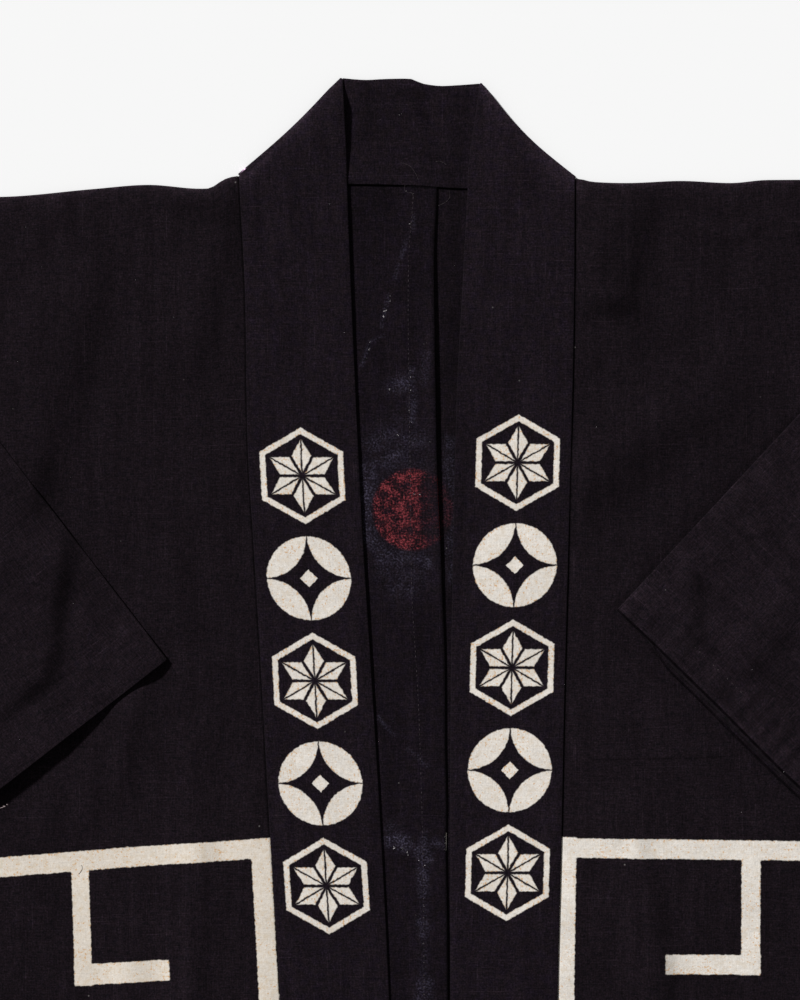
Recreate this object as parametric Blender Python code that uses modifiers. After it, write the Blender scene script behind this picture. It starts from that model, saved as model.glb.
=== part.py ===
"""A happi coat laid out flat on its back, with both sleeves folded in over the fronts.

Units are metres and +Z is up. The coat is drawn with its nape at the origin, +X towards its
own left sleeve, +Y towards the collar and its outer back on Z = 0. An empty then moves it so
that the middle of its underside is the origin. Names say left and right as seen from above.
"""

import math
from collections import namedtuple

import bmesh
import bpy
from mathutils import Vector

# Cut of the coat.
BODY_HALF_WIDTH = 0.312  # centre back to side seam
BODY_LENGTH = 0.780  # shoulder fold to hem
SLEEVE_WIDTH = 0.3245  # armhole to cuff
SLEEVE_DEPTH = 0.300  # shoulder fold to underarm fold
SEAM_TURNING = 0.0130  # cloth past the centre back seam, pressed towards +X

# Walls and the gaps between pieces.
CLOTH_WALL = 0.0010
BAND_WALL = 0.0022  # the collar band is two layers with the seam's edges inside
SEAM_GAP = 0.0005

# How the coat lies. Heights are those of the middle of each wall.
BODY_SHIFT = 0.003  # the body's middle lies this far from the nape
BACK_HEIGHT = CLOTH_WALL / 2
TURNED_HEIGHT = BACK_HEIGHT + 0.0013
UPPER_TURNED_HEIGHT = TURNED_HEIGHT + 0.0013
FRONT_HEIGHT = 0.0026
BAND_HEIGHT = 0.0030
BAND_BACK_HEIGHT = BAND_WALL / 2
BAND_FOLD_RADIUS = 0.0014
BAND_FALL_LENGTH = 0.070  # the bands come down from the mitres over this length
SEAM_RAMP = 0.006  # the back climbs on to the turnings over this width
SIDE_SEAM_RAMP = 0.010  # the front comes down to the back over this width
SIDE_SEAM_HEIGHT = 0.0020
SHOULDER_FADE = 0.060  # the shoulder line's waves fade out over this length

FOLD_RADIUS = (FRONT_HEIGHT - BACK_HEIGHT) / 2
FOLD_REACH = FOLD_RADIUS + CLOTH_WALL / 2  # from a fold's axis to its outer edge

# The folded sleeves: the roll's axis, and the two layers' heights once they lie down.
ROLL_HEIGHT = 0.0046
LOWER_SLEEVE_HEIGHT = 0.0041
UPPER_SLEEVE_HEIGHT = 0.0057
SETTLE_LENGTH = 0.170  # the layers come down from the roll over this length

# Cells along and across each piece.
BODY_ROWS = 24
ROW_SPREAD = 1.3  # rows are closer near the shoulder than near the hem
SHOULDER_ROWS = 6
SIDE_COLUMNS = 9
NECK_COLUMNS = 4
TURNED_COLUMNS = 6
BAND_COLUMNS = 4
FAN_ROWS = 5
ROLL_ROWS = 8
NAPE_ROWS = 6
SLEEVE_ROWS = 7
EDGE_ROWS = 4
STILL_COLUMNS = 4
FOLDED_COLUMNS = 10

ShoulderRow = namedtuple("ShoulderRow", "across rise")
SeamRow = namedtuple("SeamRow", "drop across")
BandRow = namedtuple("BandRow", "drop seam edge")
TopRow = namedtuple("TopRow", "across height")
MitreRow = namedtuple("MitreRow", "corner_x corner_y hollow")
FoldRow = namedtuple("FoldRow", "start lean hidden_slack")
SoftFold = namedtuple("SoftFold", "x0 y0 x1 y1 half_width rise")

# The shoulder fold and the neck seam, from one sleeve fold to the other.
SHOULDER = [
    ShoulderRow(-0.330, -0.0037),
    ShoulderRow(-0.218, -0.0053),
    ShoulderRow(-0.168, -0.0011),
    ShoulderRow(-0.139, 0.0011),
    ShoulderRow(-0.107, -0.0008),
    ShoulderRow(-0.098, 0.0042),
    ShoulderRow(-0.090, 0.0057),
    ShoulderRow(-0.076, 0.0015),
    ShoulderRow(-0.033, 0.0011),
    ShoulderRow(0.000, 0.0005),
    ShoulderRow(0.031, -0.0012),
    ShoulderRow(0.076, 0.0008),
    ShoulderRow(0.089, 0.0043),
    ShoulderRow(0.098, 0.0027),
    ShoulderRow(0.118, 0.0021),
    ShoulderRow(0.145, 0.0032),
    ShoulderRow(0.172, 0.0021),
    ShoulderRow(0.191, 0.0037),
    ShoulderRow(0.330, 0.0020),
]

# The centre back seam, from the nape down to the hem.
BACK_SEAM = [
    SeamRow(-0.010, 0.0026),
    SeamRow(0.006, 0.0022),
    SeamRow(0.035, 0.0000),
    SeamRow(0.124, 0.0005),
    SeamRow(0.200, 0.0021),
    SeamRow(0.284, 0.0056),
    SeamRow(0.355, 0.0078),
    SeamRow(0.430, 0.0080),
    SeamRow(0.780, 0.0078),
]

# Each front band of the collar: where it is sewn to the front, and its free edge.
BANDS = {
    -1: [
        BandRow(-0.058, -0.0906, -0.0352),
        BandRow(-0.040, -0.0906, -0.0341),
        BandRow(-0.020, -0.0906, -0.0330),
        BandRow(0.000, -0.0906, -0.0325),
        BandRow(0.055, -0.0876, -0.0304),
        BandRow(0.140, -0.0860, -0.0266),
        BandRow(0.190, -0.0830, -0.0240),
        BandRow(0.250, -0.0794, -0.0202),
        BandRow(0.345, -0.0742, -0.0144),
        BandRow(0.433, -0.0688, -0.0101),
        BandRow(0.780, -0.0535, 0.0030),
    ],
    1: [
        BandRow(-0.058, 0.0885, 0.0392),
        BandRow(-0.040, 0.0885, 0.0362),
        BandRow(-0.027, 0.0885, 0.0336),
        BandRow(-0.011, 0.0885, 0.0314),
        BandRow(0.000, 0.0885, 0.0309),
        BandRow(0.055, 0.0883, 0.0280),
        BandRow(0.114, 0.0872, 0.0250),
        BandRow(0.205, 0.0848, 0.0229),
        BandRow(0.275, 0.0829, 0.0219),
        BandRow(0.345, 0.0815, 0.0217),
        BandRow(0.433, 0.0794, 0.0218),
        BandRow(0.780, 0.0770, 0.0220),
    ],
}

# The collar's top edge behind the neck.
COLLAR_TOP = [
    TopRow(-0.036, 0.0570),
    TopRow(-0.013, 0.0568),
    TopRow(0.0016, 0.0568),
    TopRow(0.0080, 0.0546),
    TopRow(0.0165, 0.0536),
    TopRow(0.040, 0.0544),
]

# The mitre at each side of the neck: its inner corner, and how far its fold hollows in.
MITRES = {
    -1: MitreRow(-0.0352, 0.0570, 0.0018),
    1: MitreRow(0.0392, 0.0544, 0.0032),
}

# Each sleeve's fold: where it starts on the shoulder, its lean from the upright in degrees,
# and the length that small hidden ripples take from the lower layer.
SLEEVE_FOLDS = {
    -1: FoldRow(0.3133, 26.10, 0.0070),
    1: FoldRow(0.3191, 23.39, 0.0),
}

# Broad soft folds of the fronts, which the layers above follow.
FRONT_FOLDS = [
    SoftFold(-0.140, -0.040, -0.160, -0.330, 0.024, 0.0010),
    SoftFold(-0.205, -0.020, -0.215, -0.190, 0.020, 0.0008),
    SoftFold(-0.110, -0.420, -0.150, -0.700, 0.030, 0.0011),
    SoftFold(0.130, -0.045, 0.155, -0.250, 0.026, 0.0009),
    SoftFold(0.200, -0.030, 0.235, -0.150, 0.022, 0.0008),
    SoftFold(0.125, -0.400, 0.160, -0.690, 0.032, 0.0012),
]

# Creases of the folded sleeves.
SLEEVE_CREASES = [
    SoftFold(-0.178, -0.170, -0.190, -0.245, 0.010, 0.0011),
    SoftFold(-0.190, -0.245, -0.222, -0.290, 0.010, 0.0012),
    SoftFold(-0.290, -0.210, -0.330, -0.330, 0.016, 0.0014),
    SoftFold(0.188, -0.250, 0.222, -0.200, 0.012, 0.0010),
    SoftFold(0.196, -0.300, 0.262, -0.232, 0.014, 0.0012),
    SoftFold(0.300, -0.230, 0.330, -0.340, 0.016, 0.0013),
]

# Colour as red, green and blue, and roughness.
FINISHES = {
    "body": ((0.0100, 0.0078, 0.0092), 0.92),
    "sleeve": ((0.0092, 0.0072, 0.0086), 0.92),
    "collar": ((0.0135, 0.0105, 0.0160), 0.90),
}


def clear_scene():
    for item in list(bpy.data.objects):
        bpy.data.objects.remove(item, do_unlink=True)


def ease(share):
    """Smooth step from 0 to 1."""
    share = min(max(share, 0.0), 1.0)
    return share * share * (3.0 - 2.0 * share)


def mix(start, end, share):
    return start + (end - start) * share


def read_table(rows, key, column, at):
    """One column's value at a place along another, on a smooth curve through the rows."""
    keys = [getattr(row, key) for row in rows]
    values = [getattr(row, column) for row in rows]
    if at <= keys[0]:
        return values[0]
    if at >= keys[-1]:
        return values[-1]
    last = len(rows) - 1
    step = next(i for i in range(last) if at <= keys[i + 1])

    def slope(i):
        low = max(i - 1, 0)
        high = min(i + 1, last)
        return (values[high] - values[low]) / (keys[high] - keys[low])

    span = keys[step + 1] - keys[step]
    t = (at - keys[step]) / span
    first = (2 * t**3 - 3 * t**2 + 1) * values[step] + (3 * t**2 - 2 * t**3) * values[step + 1]
    turn = (t**3 - 2 * t**2 + t) * slope(step) + (t**3 - t**2) * slope(step + 1)
    return first + span * turn


def shoulder_line(across):
    return read_table(SHOULDER, "across", "rise", across)


def back_seam(drop):
    return read_table(BACK_SEAM, "drop", "across", drop)


def band_column(side, column, drop):
    return read_table(BANDS[side], "drop", column, drop)


def neck_x(side):
    """Where the slit for the neck ends, on the body's side of the seam."""
    return band_column(side, "seam", 0.0) + side * SEAM_GAP / 2


def row_drop(step):
    return BODY_LENGTH * (step / BODY_ROWS) ** ROW_SPREAD


def row_y(x, drop):
    """Where a row of the front or of its band lies, once the shoulder's waves are added."""
    top = shoulder_line(x) - FOLD_REACH
    return -drop + top * math.exp(-drop / SHOULDER_FADE)


def soft_rise(folds, x, y):
    """Height that a set of soft folds adds at a place, each a ridge with tapered ends."""
    rise = 0.0
    for fold in folds:
        start = Vector((fold.x0, fold.y0))
        along = Vector((fold.x1, fold.y1)) - start
        place = Vector((x, y)) - start
        share = place.dot(along) / along.length_squared
        off = (place - along * share).length / fold.half_width
        if share < 0.0:
            off = math.hypot(off, -share * along.length / fold.half_width / 1.5)
        if share > 1.0:
            off = math.hypot(off, (share - 1.0) * along.length / fold.half_width / 1.5)
        rise += fold.rise * math.exp(-off * off)
    return rise


def sheet(name, columns, rows, place, wall, skip=None, closed=False):
    """A grid of cells bent to shape by place(column, row), then given its wall.

    skip(column, row) says which cells are cut away, and closed welds the last row to the first.
    """
    shape = bmesh.new()
    bmesh.ops.create_grid(shape, x_segments=columns, y_segments=rows, size=0.5)
    cut = []
    for face in shape.faces:
        middle = face.calc_center_median()
        column = int((middle.x + 0.5) * columns)
        row = int((middle.y + 0.5) * rows)
        if skip and skip(column, row):
            cut.append(face)
    bmesh.ops.delete(shape, geom=cut, context="FACES")
    for point in shape.verts:
        column = round((point.co.x + 0.5) * columns)
        row = round((point.co.y + 0.5) * rows)
        point.co = place(column, row)
    if closed:
        bmesh.ops.remove_doubles(shape, verts=shape.verts, dist=0.00001)
    mesh = bpy.data.meshes.new(name)
    shape.to_mesh(mesh)
    shape.free()
    mesh.shade_smooth()
    piece = bpy.data.objects.new(name, mesh)
    walls = piece.modifiers.new("wall", "SOLIDIFY")
    walls.thickness = wall
    walls.offset = 0.0
    return piece


def finish(piece, key):
    colour, roughness = FINISHES[key]
    material = bpy.data.materials.new(piece.name)
    material.use_nodes = True
    shader = material.node_tree.nodes["Principled BSDF"]
    shader.inputs["Base Color"].default_value = (*colour, 1.0)
    shader.inputs["Roughness"].default_value = roughness
    shader.inputs["Metallic"].default_value = 0.0
    piece.data.materials.append(material)


def side_edge(side):
    return BODY_SHIFT + side * BODY_HALF_WIDTH


def front_height(side, x, y):
    """Middle of the front's wall, which comes down to the back along the side seam."""
    inwards = abs(side_edge(side) - x) / SIDE_SEAM_RAMP
    below_armhole = ease((-y - SLEEVE_DEPTH) / 0.03)
    seam = mix(FRONT_HEIGHT, SIDE_SEAM_HEIGHT, below_armhole)
    return mix(seam, FRONT_HEIGHT, ease(inwards)) + soft_rise(FRONT_FOLDS, x, y) * ease(inwards)


def back_point(side, column, y):
    """A point of the back, from the side seam in to the turned edge at the centre seam."""
    neck = neck_x(side)
    seam = back_seam(-y)
    if column <= SIDE_COLUMNS:
        x = mix(side_edge(side), neck, column / SIDE_COLUMNS)
        return Vector((x, y, BACK_HEIGHT))
    if side < 0:
        return left_centre_point(column, y, neck, seam)
    return right_centre_point(column, y, neck, seam)


def left_centre_point(column, y, neck, seam):
    """The -X half runs on over the seam, and its turning lies on the other half's."""
    inner = column - SIDE_COLUMNS
    foot = seam - SEAM_RAMP
    if inner <= NECK_COLUMNS:
        return Vector((mix(neck, foot, inner / NECK_COLUMNS), y, BACK_HEIGHT))
    share = (inner - NECK_COLUMNS) / TURNED_COLUMNS
    x = mix(foot, seam + SEAM_TURNING, share)
    climb = ease((x - foot) / (SEAM_RAMP - SEAM_GAP))
    return Vector((x, y, mix(BACK_HEIGHT, UPPER_TURNED_HEIGHT, climb)))


def right_centre_point(column, y, neck, seam):
    """The +X half turns back on itself at the seam."""
    inner = column - SIDE_COLUMNS
    radius = (TURNED_HEIGHT - BACK_HEIGHT) / 2
    axis = seam + SEAM_GAP + CLOTH_WALL / 2 + radius
    if inner <= NECK_COLUMNS:
        return Vector((mix(neck, axis, inner / NECK_COLUMNS), y, BACK_HEIGHT))
    turn = inner - NECK_COLUMNS
    bends = TURNED_COLUMNS - 2
    if turn <= bends:
        angle = math.pi * turn / bends
        lift = BACK_HEIGHT + radius - radius * math.cos(angle)
        return Vector((axis - radius * math.sin(angle), y, lift))
    x = mix(axis, seam + SEAM_TURNING, (turn - bends) / 2)
    return Vector((x, y, TURNED_HEIGHT))


def make_body(side, name):
    """One length of cloth: up the back, over the shoulder and down the front."""
    columns = SIDE_COLUMNS + NECK_COLUMNS + TURNED_COLUMNS
    rows = BODY_ROWS + SHOULDER_ROWS + BODY_ROWS

    def place(column, row):
        if row <= BODY_ROWS:
            drop = row_drop(BODY_ROWS - row)
            point = back_point(side, column, -drop)
            point.y = row_y(point.x, drop)
            if column > SIDE_COLUMNS:
                point.y += FOLD_REACH * math.exp(-drop / SHOULDER_FADE)
            return point
        if row <= BODY_ROWS + SHOULDER_ROWS:
            point = back_point(side, column, 0.0)
            angle = math.pi * (row - BODY_ROWS) / SHOULDER_ROWS
            point.y = row_y(point.x, 0.0) + FOLD_RADIUS * math.sin(angle)
            point.z = BACK_HEIGHT + FOLD_RADIUS - FOLD_RADIUS * math.cos(angle)
            return point
        drop = row_drop(row - BODY_ROWS - SHOULDER_ROWS)
        seam = band_column(side, "seam", drop) + side * SEAM_GAP / 2
        x = mix(side_edge(side), seam, column / SIDE_COLUMNS)
        y = row_y(x, drop)
        return Vector((x, y, front_height(side, x, y)))

    def skip(column, row):
        return column >= SIDE_COLUMNS and row >= BODY_ROWS

    piece = sheet(name, columns, rows, place, CLOTH_WALL, skip=skip)
    finish(piece, "body")
    return piece


def sleeve_ring():
    """Drop and height of the flattened sleeve's ring, from the shoulder down the back."""
    middle = BACK_HEIGHT + FOLD_RADIUS
    top = FOLD_REACH
    bottom = SLEEVE_DEPTH - FOLD_REACH
    ring = []
    for step in range(SLEEVE_ROWS):
        ring.append((mix(top, bottom, step / SLEEVE_ROWS), BACK_HEIGHT))
    for step in range(EDGE_ROWS):
        angle = math.pi * step / EDGE_ROWS
        drop = bottom + FOLD_RADIUS * math.sin(angle)
        ring.append((drop, middle - FOLD_RADIUS * math.cos(angle)))
    for step in range(SLEEVE_ROWS):
        ring.append((mix(bottom, top, step / SLEEVE_ROWS), FRONT_HEIGHT))
    for step in range(EDGE_ROWS + 1):
        angle = math.pi * step / EDGE_ROWS
        drop = top - FOLD_RADIUS * math.sin(angle)
        ring.append((drop, middle + FOLD_RADIUS * math.cos(angle)))
    return ring


def folded_point(side, fold, start, x, y, height):
    """Where a point of the flat sleeve lies once the sleeve is rolled over its slanting fold."""
    lean = math.radians(fold.lean)
    along = Vector((side * math.sin(lean), -math.cos(lean)))
    out = Vector((side * math.cos(lean), math.sin(lean)))
    offset = Vector((x, y)) - start
    distance = offset.dot(out)
    if distance <= 0.0:
        return Vector((x, y, height))
    radius = ROLL_HEIGHT - height
    place = start + along * offset.dot(along)
    if distance < math.pi * radius:
        angle = distance / radius
        place = place + out * (radius * math.sin(angle))
        return Vector((*place, ROLL_HEIGHT - radius * math.cos(angle)))
    back = distance - math.pi * radius
    depth = (height - BACK_HEIGHT) / (FRONT_HEIGHT - BACK_HEIGHT)
    back *= 1.0 - depth * fold.hidden_slack / SLEEVE_WIDTH
    place = place - out * back
    lying = mix(UPPER_SLEEVE_HEIGHT, LOWER_SLEEVE_HEIGHT, depth)
    lift = mix(ROLL_HEIGHT + radius, lying, ease(back / SETTLE_LENGTH))
    lift += soft_rise(FRONT_FOLDS, *place) + soft_rise(SLEEVE_CREASES, *place)
    return Vector((*place, lift))


def make_sleeve(side, name):
    """A flattened tube of one width of cloth, rolled over a slanting fold on to the front."""
    fold = SLEEVE_FOLDS[side]
    ring = sleeve_ring()
    lean = math.radians(fold.lean)
    slope = math.tan(lean)
    top = shoulder_line(side * fold.start)
    start = Vector((side * fold.start, top))
    armhole = side_edge(side) + side * SEAM_GAP
    cuff = side_edge(side) + side * SLEEVE_WIDTH
    columns = STILL_COLUMNS + ROLL_ROWS + FOLDED_COLUMNS

    def place(column, row):
        drop, height = ring[row]
        y = top - drop
        radius = ROLL_HEIGHT - height
        crease = start.x + side * drop * slope
        turned = crease + side * math.pi * radius / math.cos(lean)
        if column <= STILL_COLUMNS:
            x = mix(armhole, crease, column / STILL_COLUMNS)
        elif column <= STILL_COLUMNS + ROLL_ROWS:
            x = mix(crease, turned, (column - STILL_COLUMNS) / ROLL_ROWS)
        else:
            x = mix(turned, cuff, (column - STILL_COLUMNS - ROLL_ROWS) / FOLDED_COLUMNS)
        return folded_point(side, fold, start, x, y, height)

    piece = sheet(name, columns, len(ring) - 1, place, CLOTH_WALL, closed=True)
    finish(piece, "sleeve")
    return piece


def front_stations(side):
    """Seam point, edge point, height and hollow of the band, from the hem up to its mitre."""
    mitre = MITRES[side]
    top_height = BAND_BACK_HEIGHT + 2 * BAND_FOLD_RADIUS
    stations = []
    for step in range(BODY_ROWS, -1, -1):
        drop = row_drop(step)
        seam_x = band_column(side, "seam", drop) - side * SEAM_GAP / 2
        edge_x = band_column(side, "edge", drop)
        seam = Vector((seam_x, row_y(seam_x, drop)))
        edge = Vector((edge_x, row_y(edge_x, drop)))
        height = mix(top_height, BAND_HEIGHT, ease(drop / BAND_FALL_LENGTH))
        stations.append((seam, edge, height, 0.0))
    first_seam = stations[-1][0]
    first_edge = stations[-1][1]
    neck = Vector((first_seam.x, shoulder_line(first_seam.x) + SEAM_GAP))
    for step in range(1, FAN_ROWS + 1):
        share = step / FAN_ROWS
        edge_y = mix(first_edge.y, mitre.corner_y, share)
        edge = Vector((band_column(side, "edge", -edge_y), edge_y))
        seam = first_seam.lerp(neck, share)
        stations.append((seam, edge, top_height, mitre.hollow * ease(share)))
    return stations


def mitre_stations(side, seam, edge, hollow):
    """The roll of the mitre and the fan behind it, from the front round to the back."""
    across = (edge - seam).normalized()
    out = Vector((-across.y, across.x)) * (-side)
    middle = BAND_BACK_HEIGHT + BAND_FOLD_RADIUS
    stations = []
    for step in range(1, ROLL_ROWS + 1):
        angle = math.pi * (1.0 - step / ROLL_ROWS)
        push = out * BAND_FOLD_RADIUS * math.sin(angle)
        height = middle - BAND_FOLD_RADIUS * math.cos(angle)
        stations.append((seam + push, edge + push, height, hollow))
    for step in range(1, FAN_ROWS + 1):
        share = step / FAN_ROWS
        x = mix(seam.x, edge.x - side * 0.004, share)
        foot = Vector((x, shoulder_line(x) + SEAM_GAP))
        head_x = edge.x - side * 0.004 * share
        head = Vector((head_x, read_table(COLLAR_TOP, "across", "height", head_x)))
        stations.append((foot, head, BAND_BACK_HEIGHT, hollow * (1.0 - share)))
    return stations


def nape_stations(start, end):
    """The stretch behind the neck, between the two fans."""
    stations = []
    for step in range(1, NAPE_ROWS):
        x = mix(start, end, step / NAPE_ROWS)
        foot = Vector((x, shoulder_line(x) + SEAM_GAP))
        head = Vector((x, read_table(COLLAR_TOP, "across", "height", x)))
        stations.append((foot, head, BAND_BACK_HEIGHT, 0.0))
    return stations


def make_collar(name):
    """One long band, up one front, round the neck with a mitre at each side, and down again."""
    half = {}
    for side in (-1, 1):
        front = front_stations(side)
        seam, edge, _, hollow = front[-1]
        half[side] = front + mitre_stations(side, seam, edge, hollow)
    nape = nape_stations(half[-1][-1][1].x, half[1][-1][1].x)
    stations = half[-1] + nape + list(reversed(half[1]))

    def place(column, row):
        seam, edge, height, hollow = stations[row]
        share = column / BAND_COLUMNS
        point = seam.lerp(edge, share)
        across = (edge - seam).normalized()
        inwards = Vector((across.y, -across.x))
        if inwards.y > 0.0:
            inwards = -inwards
        point += inwards * hollow * math.sin(math.pi * share)
        return Vector((*point, height))

    piece = sheet(name, BAND_COLUMNS, len(stations) - 1, place, BAND_WALL)
    finish(piece, "collar")
    return piece


def centre_on_floor(pieces, holder):
    """Moves the holder so that the middle of the coat's underside is the origin."""
    bpy.context.view_layer.update()
    depsgraph = bpy.context.evaluated_depsgraph_get()
    corners = []
    for piece in pieces:
        solid = piece.evaluated_get(depsgraph)
        corners += [solid.matrix_world @ Vector(corner) for corner in solid.bound_box]
    low = [min(corner[axis] for corner in corners) for axis in range(3)]
    high = [max(corner[axis] for corner in corners) for axis in range(3)]
    holder.location = (-(low[0] + high[0]) / 2, -(low[1] + high[1]) / 2, -low[2])
    bpy.context.view_layer.update()
    print("nape at", tuple(round(value, 5) for value in holder.location))
    print("size", tuple(round(high[axis] - low[axis], 5) for axis in range(3)))


def build():
    clear_scene()
    coat = bpy.data.collections.new("happi_coat")
    bpy.context.scene.collection.children.link(coat)
    holder = bpy.data.objects.new("nape", None)
    coat.objects.link(holder)
    pieces = [
        make_body(-1, "body_left"),
        make_body(1, "body_right"),
        make_sleeve(-1, "sleeve_left"),
        make_sleeve(1, "sleeve_right"),
        make_collar("collar"),
    ]
    for piece in pieces:
        coat.objects.link(piece)
        piece.parent = holder
    centre_on_floor(pieces, holder)


build()
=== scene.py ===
import math

import bmesh
import bpy
import numpy as np
from mathutils import Matrix, Vector
from mathutils.bvhtree import BVHTree


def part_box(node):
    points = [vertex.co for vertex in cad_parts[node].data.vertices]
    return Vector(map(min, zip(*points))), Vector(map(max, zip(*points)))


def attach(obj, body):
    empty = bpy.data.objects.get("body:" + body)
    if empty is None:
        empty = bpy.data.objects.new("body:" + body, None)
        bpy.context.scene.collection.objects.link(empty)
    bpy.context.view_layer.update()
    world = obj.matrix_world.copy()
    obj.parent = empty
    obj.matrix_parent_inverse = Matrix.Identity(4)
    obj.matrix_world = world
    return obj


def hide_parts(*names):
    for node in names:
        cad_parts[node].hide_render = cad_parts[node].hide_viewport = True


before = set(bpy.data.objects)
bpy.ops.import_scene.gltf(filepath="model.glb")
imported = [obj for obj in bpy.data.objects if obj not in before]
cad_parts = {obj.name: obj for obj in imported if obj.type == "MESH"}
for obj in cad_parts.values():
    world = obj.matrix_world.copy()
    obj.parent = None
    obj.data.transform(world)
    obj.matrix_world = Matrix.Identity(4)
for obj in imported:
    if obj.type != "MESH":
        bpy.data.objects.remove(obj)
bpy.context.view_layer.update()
print("frame loaded:", ", ".join(sorted(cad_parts)))

# Everything below is in millimetres from the nape: x to the right as seen from above, y up to
# the collar, z up from the floor. A drop is a distance down from the shoulder fold.
mm = 0.001

coat = {
    "halfWidth": 312.0,  # centre back to side seam
    "length": 780.0,  # shoulder fold to hem
    "shift": 3.0,  # the body's middle lies this far from the nape
    "wall": 0.4,
    "gap": 0.3,  # between pieces at a seam
    "hem": 15.0,
    "hemRadius": 0.24,
    "lap": 2.0,  # how far the body's cloth runs in under the neck band
}

# Heights of the middle of each layer of cloth.
heights = {
    "back": 0.3,
    "turned": 0.78,
    "upperTurned": 1.26,
    "front": 1.9,
    "sideSeam": 1.0,
    "tucked": 1.45,  # the fronts' edges, under the neck band
}
foldRadius = (heights["front"] - heights["back"]) / 2
foldReach = foldRadius + coat["wall"] / 2

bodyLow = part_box("body_left")[0]
napeX = bodyLow[0] / mm + coat["halfWidth"] - coat["shift"]
napeY = bodyLow[1] / mm + coat["length"]
print(f"nape at {napeX:.2f}, {napeY:.2f} mm")


def ease(share):
    share = np.clip(share, 0.0, 1.0)
    return share * share * (3.0 - 2.0 * share)


def mix(start, end, share):
    return start + (end - start) * share


def halfTurn(share):  # an angle that grows to half a turn
    return np.pi * np.clip(share, 0, 1)


def curve(keys, values, at):  # a smooth curve through the points of a table
    keys = np.asarray(keys, float)
    values = np.asarray(values, float)
    slopes = np.empty_like(values)
    slopes[1:-1] = (values[2:] - values[:-2]) / (keys[2:] - keys[:-2])
    slopes[0] = (values[1] - values[0]) / (keys[1] - keys[0])
    slopes[-1] = (values[-1] - values[-2]) / (keys[-1] - keys[-2])
    at = np.clip(np.asarray(at, float), keys[0], keys[-1])
    step = np.clip(np.searchsorted(keys, at, side="right") - 1, 0, len(keys) - 2)
    span = keys[step + 1] - keys[step]
    t = (at - keys[step]) / span
    level = mix(values[step], values[step + 1], t * t * (3 - 2 * t))
    turn = (t**3 - 2 * t**2 + t) * slopes[step] + (t**3 - t**2) * slopes[step + 1]
    return level + span * turn


def along(line, x, y):  # distance from a line of points, which side of it, and how far along
    near = np.full(np.shape(x), 1e9)
    side = np.zeros(np.shape(x))
    place = np.zeros(np.shape(x))
    lengths = [math.dist(a, b) for a, b in zip(line, line[1:])]
    passed = 0.0
    for start, end, length in zip(line, line[1:], lengths):
        ax, ay = end[0] - start[0], end[1] - start[1]
        share = np.clip(((x - start[0]) * ax + (y - start[1]) * ay) / length**2, 0, 1)
        dx, dy = x - start[0] - share * ax, y - start[1] - share * ay
        distance = np.hypot(dx, dy)
        closer = distance < near
        near = np.where(closer, distance, near)
        side = np.where(closer, ax * dy - ay * dx, side)
        place = np.where(closer, passed + share * length, place)
        passed += length
    return near, side, place / passed


def softFolds(folds, x, y):  # height that ridges (rise above 0) and troughs (below 0) add
    height = np.zeros(np.shape(x))
    for left, right, rise, *line in folds:
        near, side, place = along(line, x, y)
        width = np.where(side > 0, right, left)
        ends = 0.3 + 0.7 * ease(4.0 * np.minimum(place, 1 - place))  # a fold is lower at its ends
        height += rise * ends * np.exp(-((near / width) ** 2))
    return height


def lookUp(table, column, at):  # reads a column of a table, whose first column is the place
    return curve(next(iter(table.values())), table[column], at)


def meshOf(shape, name):
    mesh = bpy.data.meshes.new(name)
    shape.to_mesh(mesh)
    shape.free()
    return mesh


def weld(mesh, distance):
    shape = bmesh.new()
    shape.from_mesh(mesh)
    bmesh.ops.remove_doubles(shape, verts=shape.verts, dist=distance)
    shape.to_mesh(mesh)
    shape.free()


# The waves of the shoulder fold from side to side, and the depth by which they are gone.
shoulder = {
    "x": (-330, -218, -168, -139, -107, -98, -90, -76, -33, 0, 31, 76, 89, 98, 118, 145, 172, 191, 330),
    "rise": (-3.7, -5.3, -1.1, 1.1, -0.8, 4.2, 5.7, 1.5, 1.1, 0.5, -1.2, 0.8, 4.3, 2.7, 2.1, 3.2, 2.1, 3.7,
             3.4),
    "fade": 60.0,
}

# The centre back seam on its way down, and how wide the ramp is where the turning climbs over it.
backSeam = {
    "drop": (-10, 6, 35, 76, 124, 200, 225, 249, 279, 311, 355, 430, 780),
    "x": (2.6, 2.2, 0.0, -0.4, 0.3, 1.2, 1.9, 3.5, 5.2, 6.3, 7.5, 8.0, 7.8),
    "ramp": 9.0,
}

# The neck band's seam and its free edge on the fronts.
bandSeams = {
    -1: {
        "drop": (-58, -40, -20, 0, 55, 140, 190, 250, 345, 433, 780),
        "seam": (-90.6, -90.6, -90.6, -90.6, -87.6, -86.0, -83.0, -79.4, -74.2, -68.8, -53.5),
        "edge": (-35.2, -34.1, -33.0, -32.5, -30.4, -26.6, -24.0, -20.2, -14.4, -10.1, 3.0),
    },
    1: {
        "drop": (-58, -40, -27, -11, 0, 55, 114, 205, 275, 345, 433, 780),
        "seam": (88.5, 88.5, 88.5, 88.5, 88.5, 88.3, 87.2, 84.8, 82.9, 81.5, 79.4, 77.0),
        "edge": (37.7, 35.5, 33.3, 31.4, 30.9, 28.0, 25.0, 22.9, 21.9, 21.7, 21.8, 22.0),
    },
}

# The band's mitres: their top corners, how far they sink behind the neck, their folds' radius,
# how far it takes to come down from them, and how quickly the light on them fades.
mitres = {
    -1: {"corner": (-35.3, 57.6), "hollow": 1.8, "radius": 1.25, "fall": 14.0, "fade": 1.7},
    1: {"corner": (37.5, 55.0), "hollow": 3.2, "radius": 1.1, "fall": 22.0, "fade": 0.6},
}

# How far in from the side seam and from the neck band a front takes to lie down, and where its
# side is sewn up below the armhole.
frontLies = {"side": 12.0, "band": 9.0, "armhole": 300.0, "closing": 30.0}

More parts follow.
